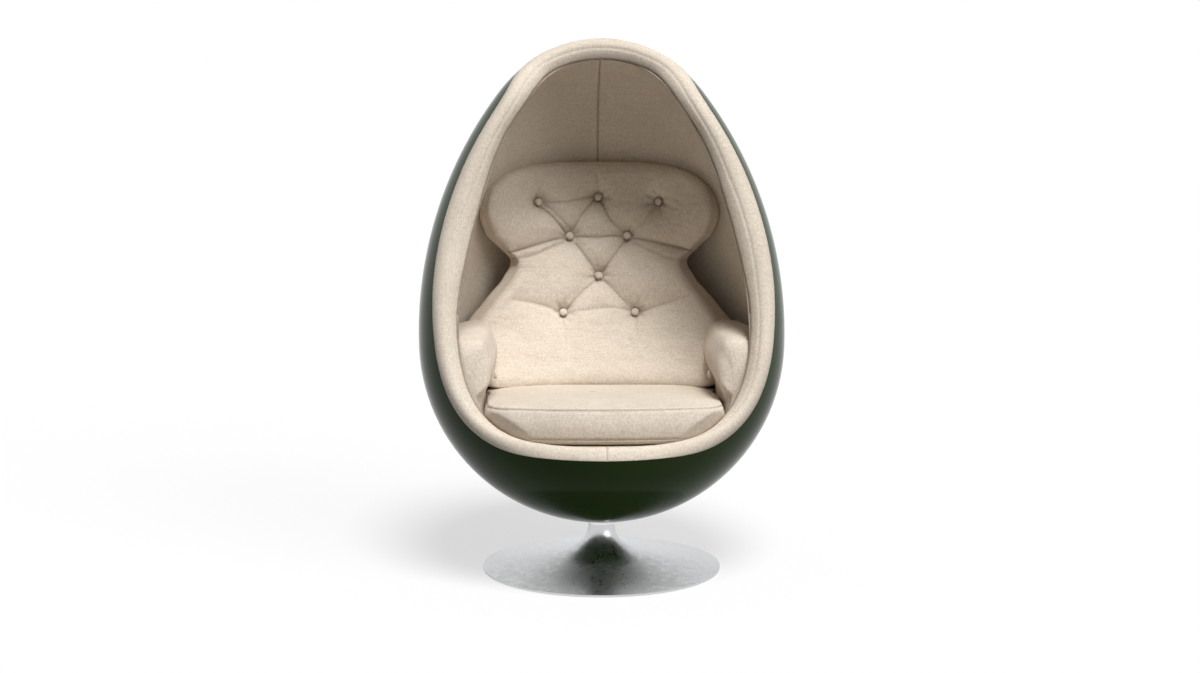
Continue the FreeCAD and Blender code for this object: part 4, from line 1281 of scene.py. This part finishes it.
def felt_disc():
    """Felt ring under the base plate with a soft pressed edge."""
    radius = 278.0
    profile = (
        (60.0, 1.5), (180.0, 1.5), (radius - 0.5, 1.5), (radius, 1.0),
        (radius - 0.2, 0.35), (radius - 1.0, 0.0), (180.0, 0.0), (60.0, 0.0),
    )
    a = np.linspace(0, 2 * math.pi, 145)[:-1]
    loops = [level_loop(r * np.cos(a), r * np.sin(a), z) for r, z in profile]
    points, faces = capped(loops, rings=1)
    piece = make("felt_foot", points, outward(points, faces), FELT, body="base")
    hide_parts("floor_felt")


seat_foam()
back_foam()
felt_disc()


# ---- Camera, floor and light ----

EYE_DISTANCE = 4.5


def placed(name, data):
    thing = bpy.data.objects.new(name, data)
    bpy.context.scene.collection.objects.link(thing)
    return thing


def camera():
    data = bpy.data.cameras.new("camera")
    data.lens = 57.58
    data.sensor_width = 36.0
    data.shift_x = -1.5 / 1200
    eye = placed("camera", data)
    turn = math.radians(1.8)
    eye.location = (-EYE_DISTANCE * math.sin(turn), -EYE_DISTANCE * math.cos(turn), 1.168)
    eye.rotation_euler = (math.radians(90 - 7.73), 0, -turn)
    bpy.context.scene.camera = eye


def seen(tree):
    """1 for what the camera, a mirror or glass sees, 0 for light on the object."""
    path = tree.nodes.new("ShaderNodeLightPath")
    total = path.outputs["Is Camera Ray"]
    for name in ("Is Glossy Ray", "Is Transmission Ray"):
        more = tree.nodes.new("ShaderNodeMath")
        more.operation = "MAXIMUM"
        tree.links.new(total, more.inputs[0])
        tree.links.new(path.outputs[name], more.inputs[1])
        total = more.outputs[0]
    return total


def floor():
    mesh = bpy.data.meshes.new("floor")
    size = 60.0
    corners = [(-size, -size, 0), (size, -size, 0), (size, size, 0), (-size, size, 0)]
    mesh.from_pydata(corners, [], [(0, 1, 2, 3)])
    plane = placed("floor", mesh)
    material = bpy.data.materials.new("floor")
    material.use_nodes = True
    tree = material.node_tree
    shader = tree.nodes["Principled BSDF"]
    shader.inputs["Base Color"].default_value = (0.27, 0.27, 0.27, 1)
    shader.inputs["Roughness"].default_value = 0.9
    shader.inputs["Specular IOR Level"].default_value = 0.0
    shader.inputs["Emission Color"].default_value = (1, 1, 1, 1)
    lift = tree.nodes.new("ShaderNodeMath")
    lift.operation = "MULTIPLY"
    lift.inputs[1].default_value = 0.66
    tree.links.new(seen(tree), lift.inputs[0])
    tree.links.new(lift.outputs[0], shader.inputs["Emission Strength"])
    mesh.materials.append(material)


def world():
    made = bpy.data.worlds.new("studio")
    bpy.context.scene.world = made
    made.use_nodes = True
    tree = made.node_tree
    back = tree.nodes["Background"]
    back.inputs["Color"].default_value = (1, 1, 1, 1)
    level = tree.nodes.new("ShaderNodeMapRange")
    level.inputs["To Min"].default_value = 0.14
    level.inputs["To Max"].default_value = 1.0
    tree.links.new(seen(tree), level.inputs["Value"])
    tree.links.new(level.outputs["Result"], back.inputs["Strength"])


def lamp(name, energy, spread, away):
    light = bpy.data.lights.new(name, "SUN")
    light.energy = energy
    light.angle = math.radians(spread)
    sun = placed(name, light)
    sun.rotation_euler = Vector(away).to_track_quat("Z", "Y").to_euler()


camera()
floor()
world()
lamp("key", 3.5, 22.0, (0.12, -0.46, 0.87))
lamp("side", 1.0, 34.0, (0.62, -0.62, 0.48))
bpy.context.scene.view_settings.view_transform = "Standard"
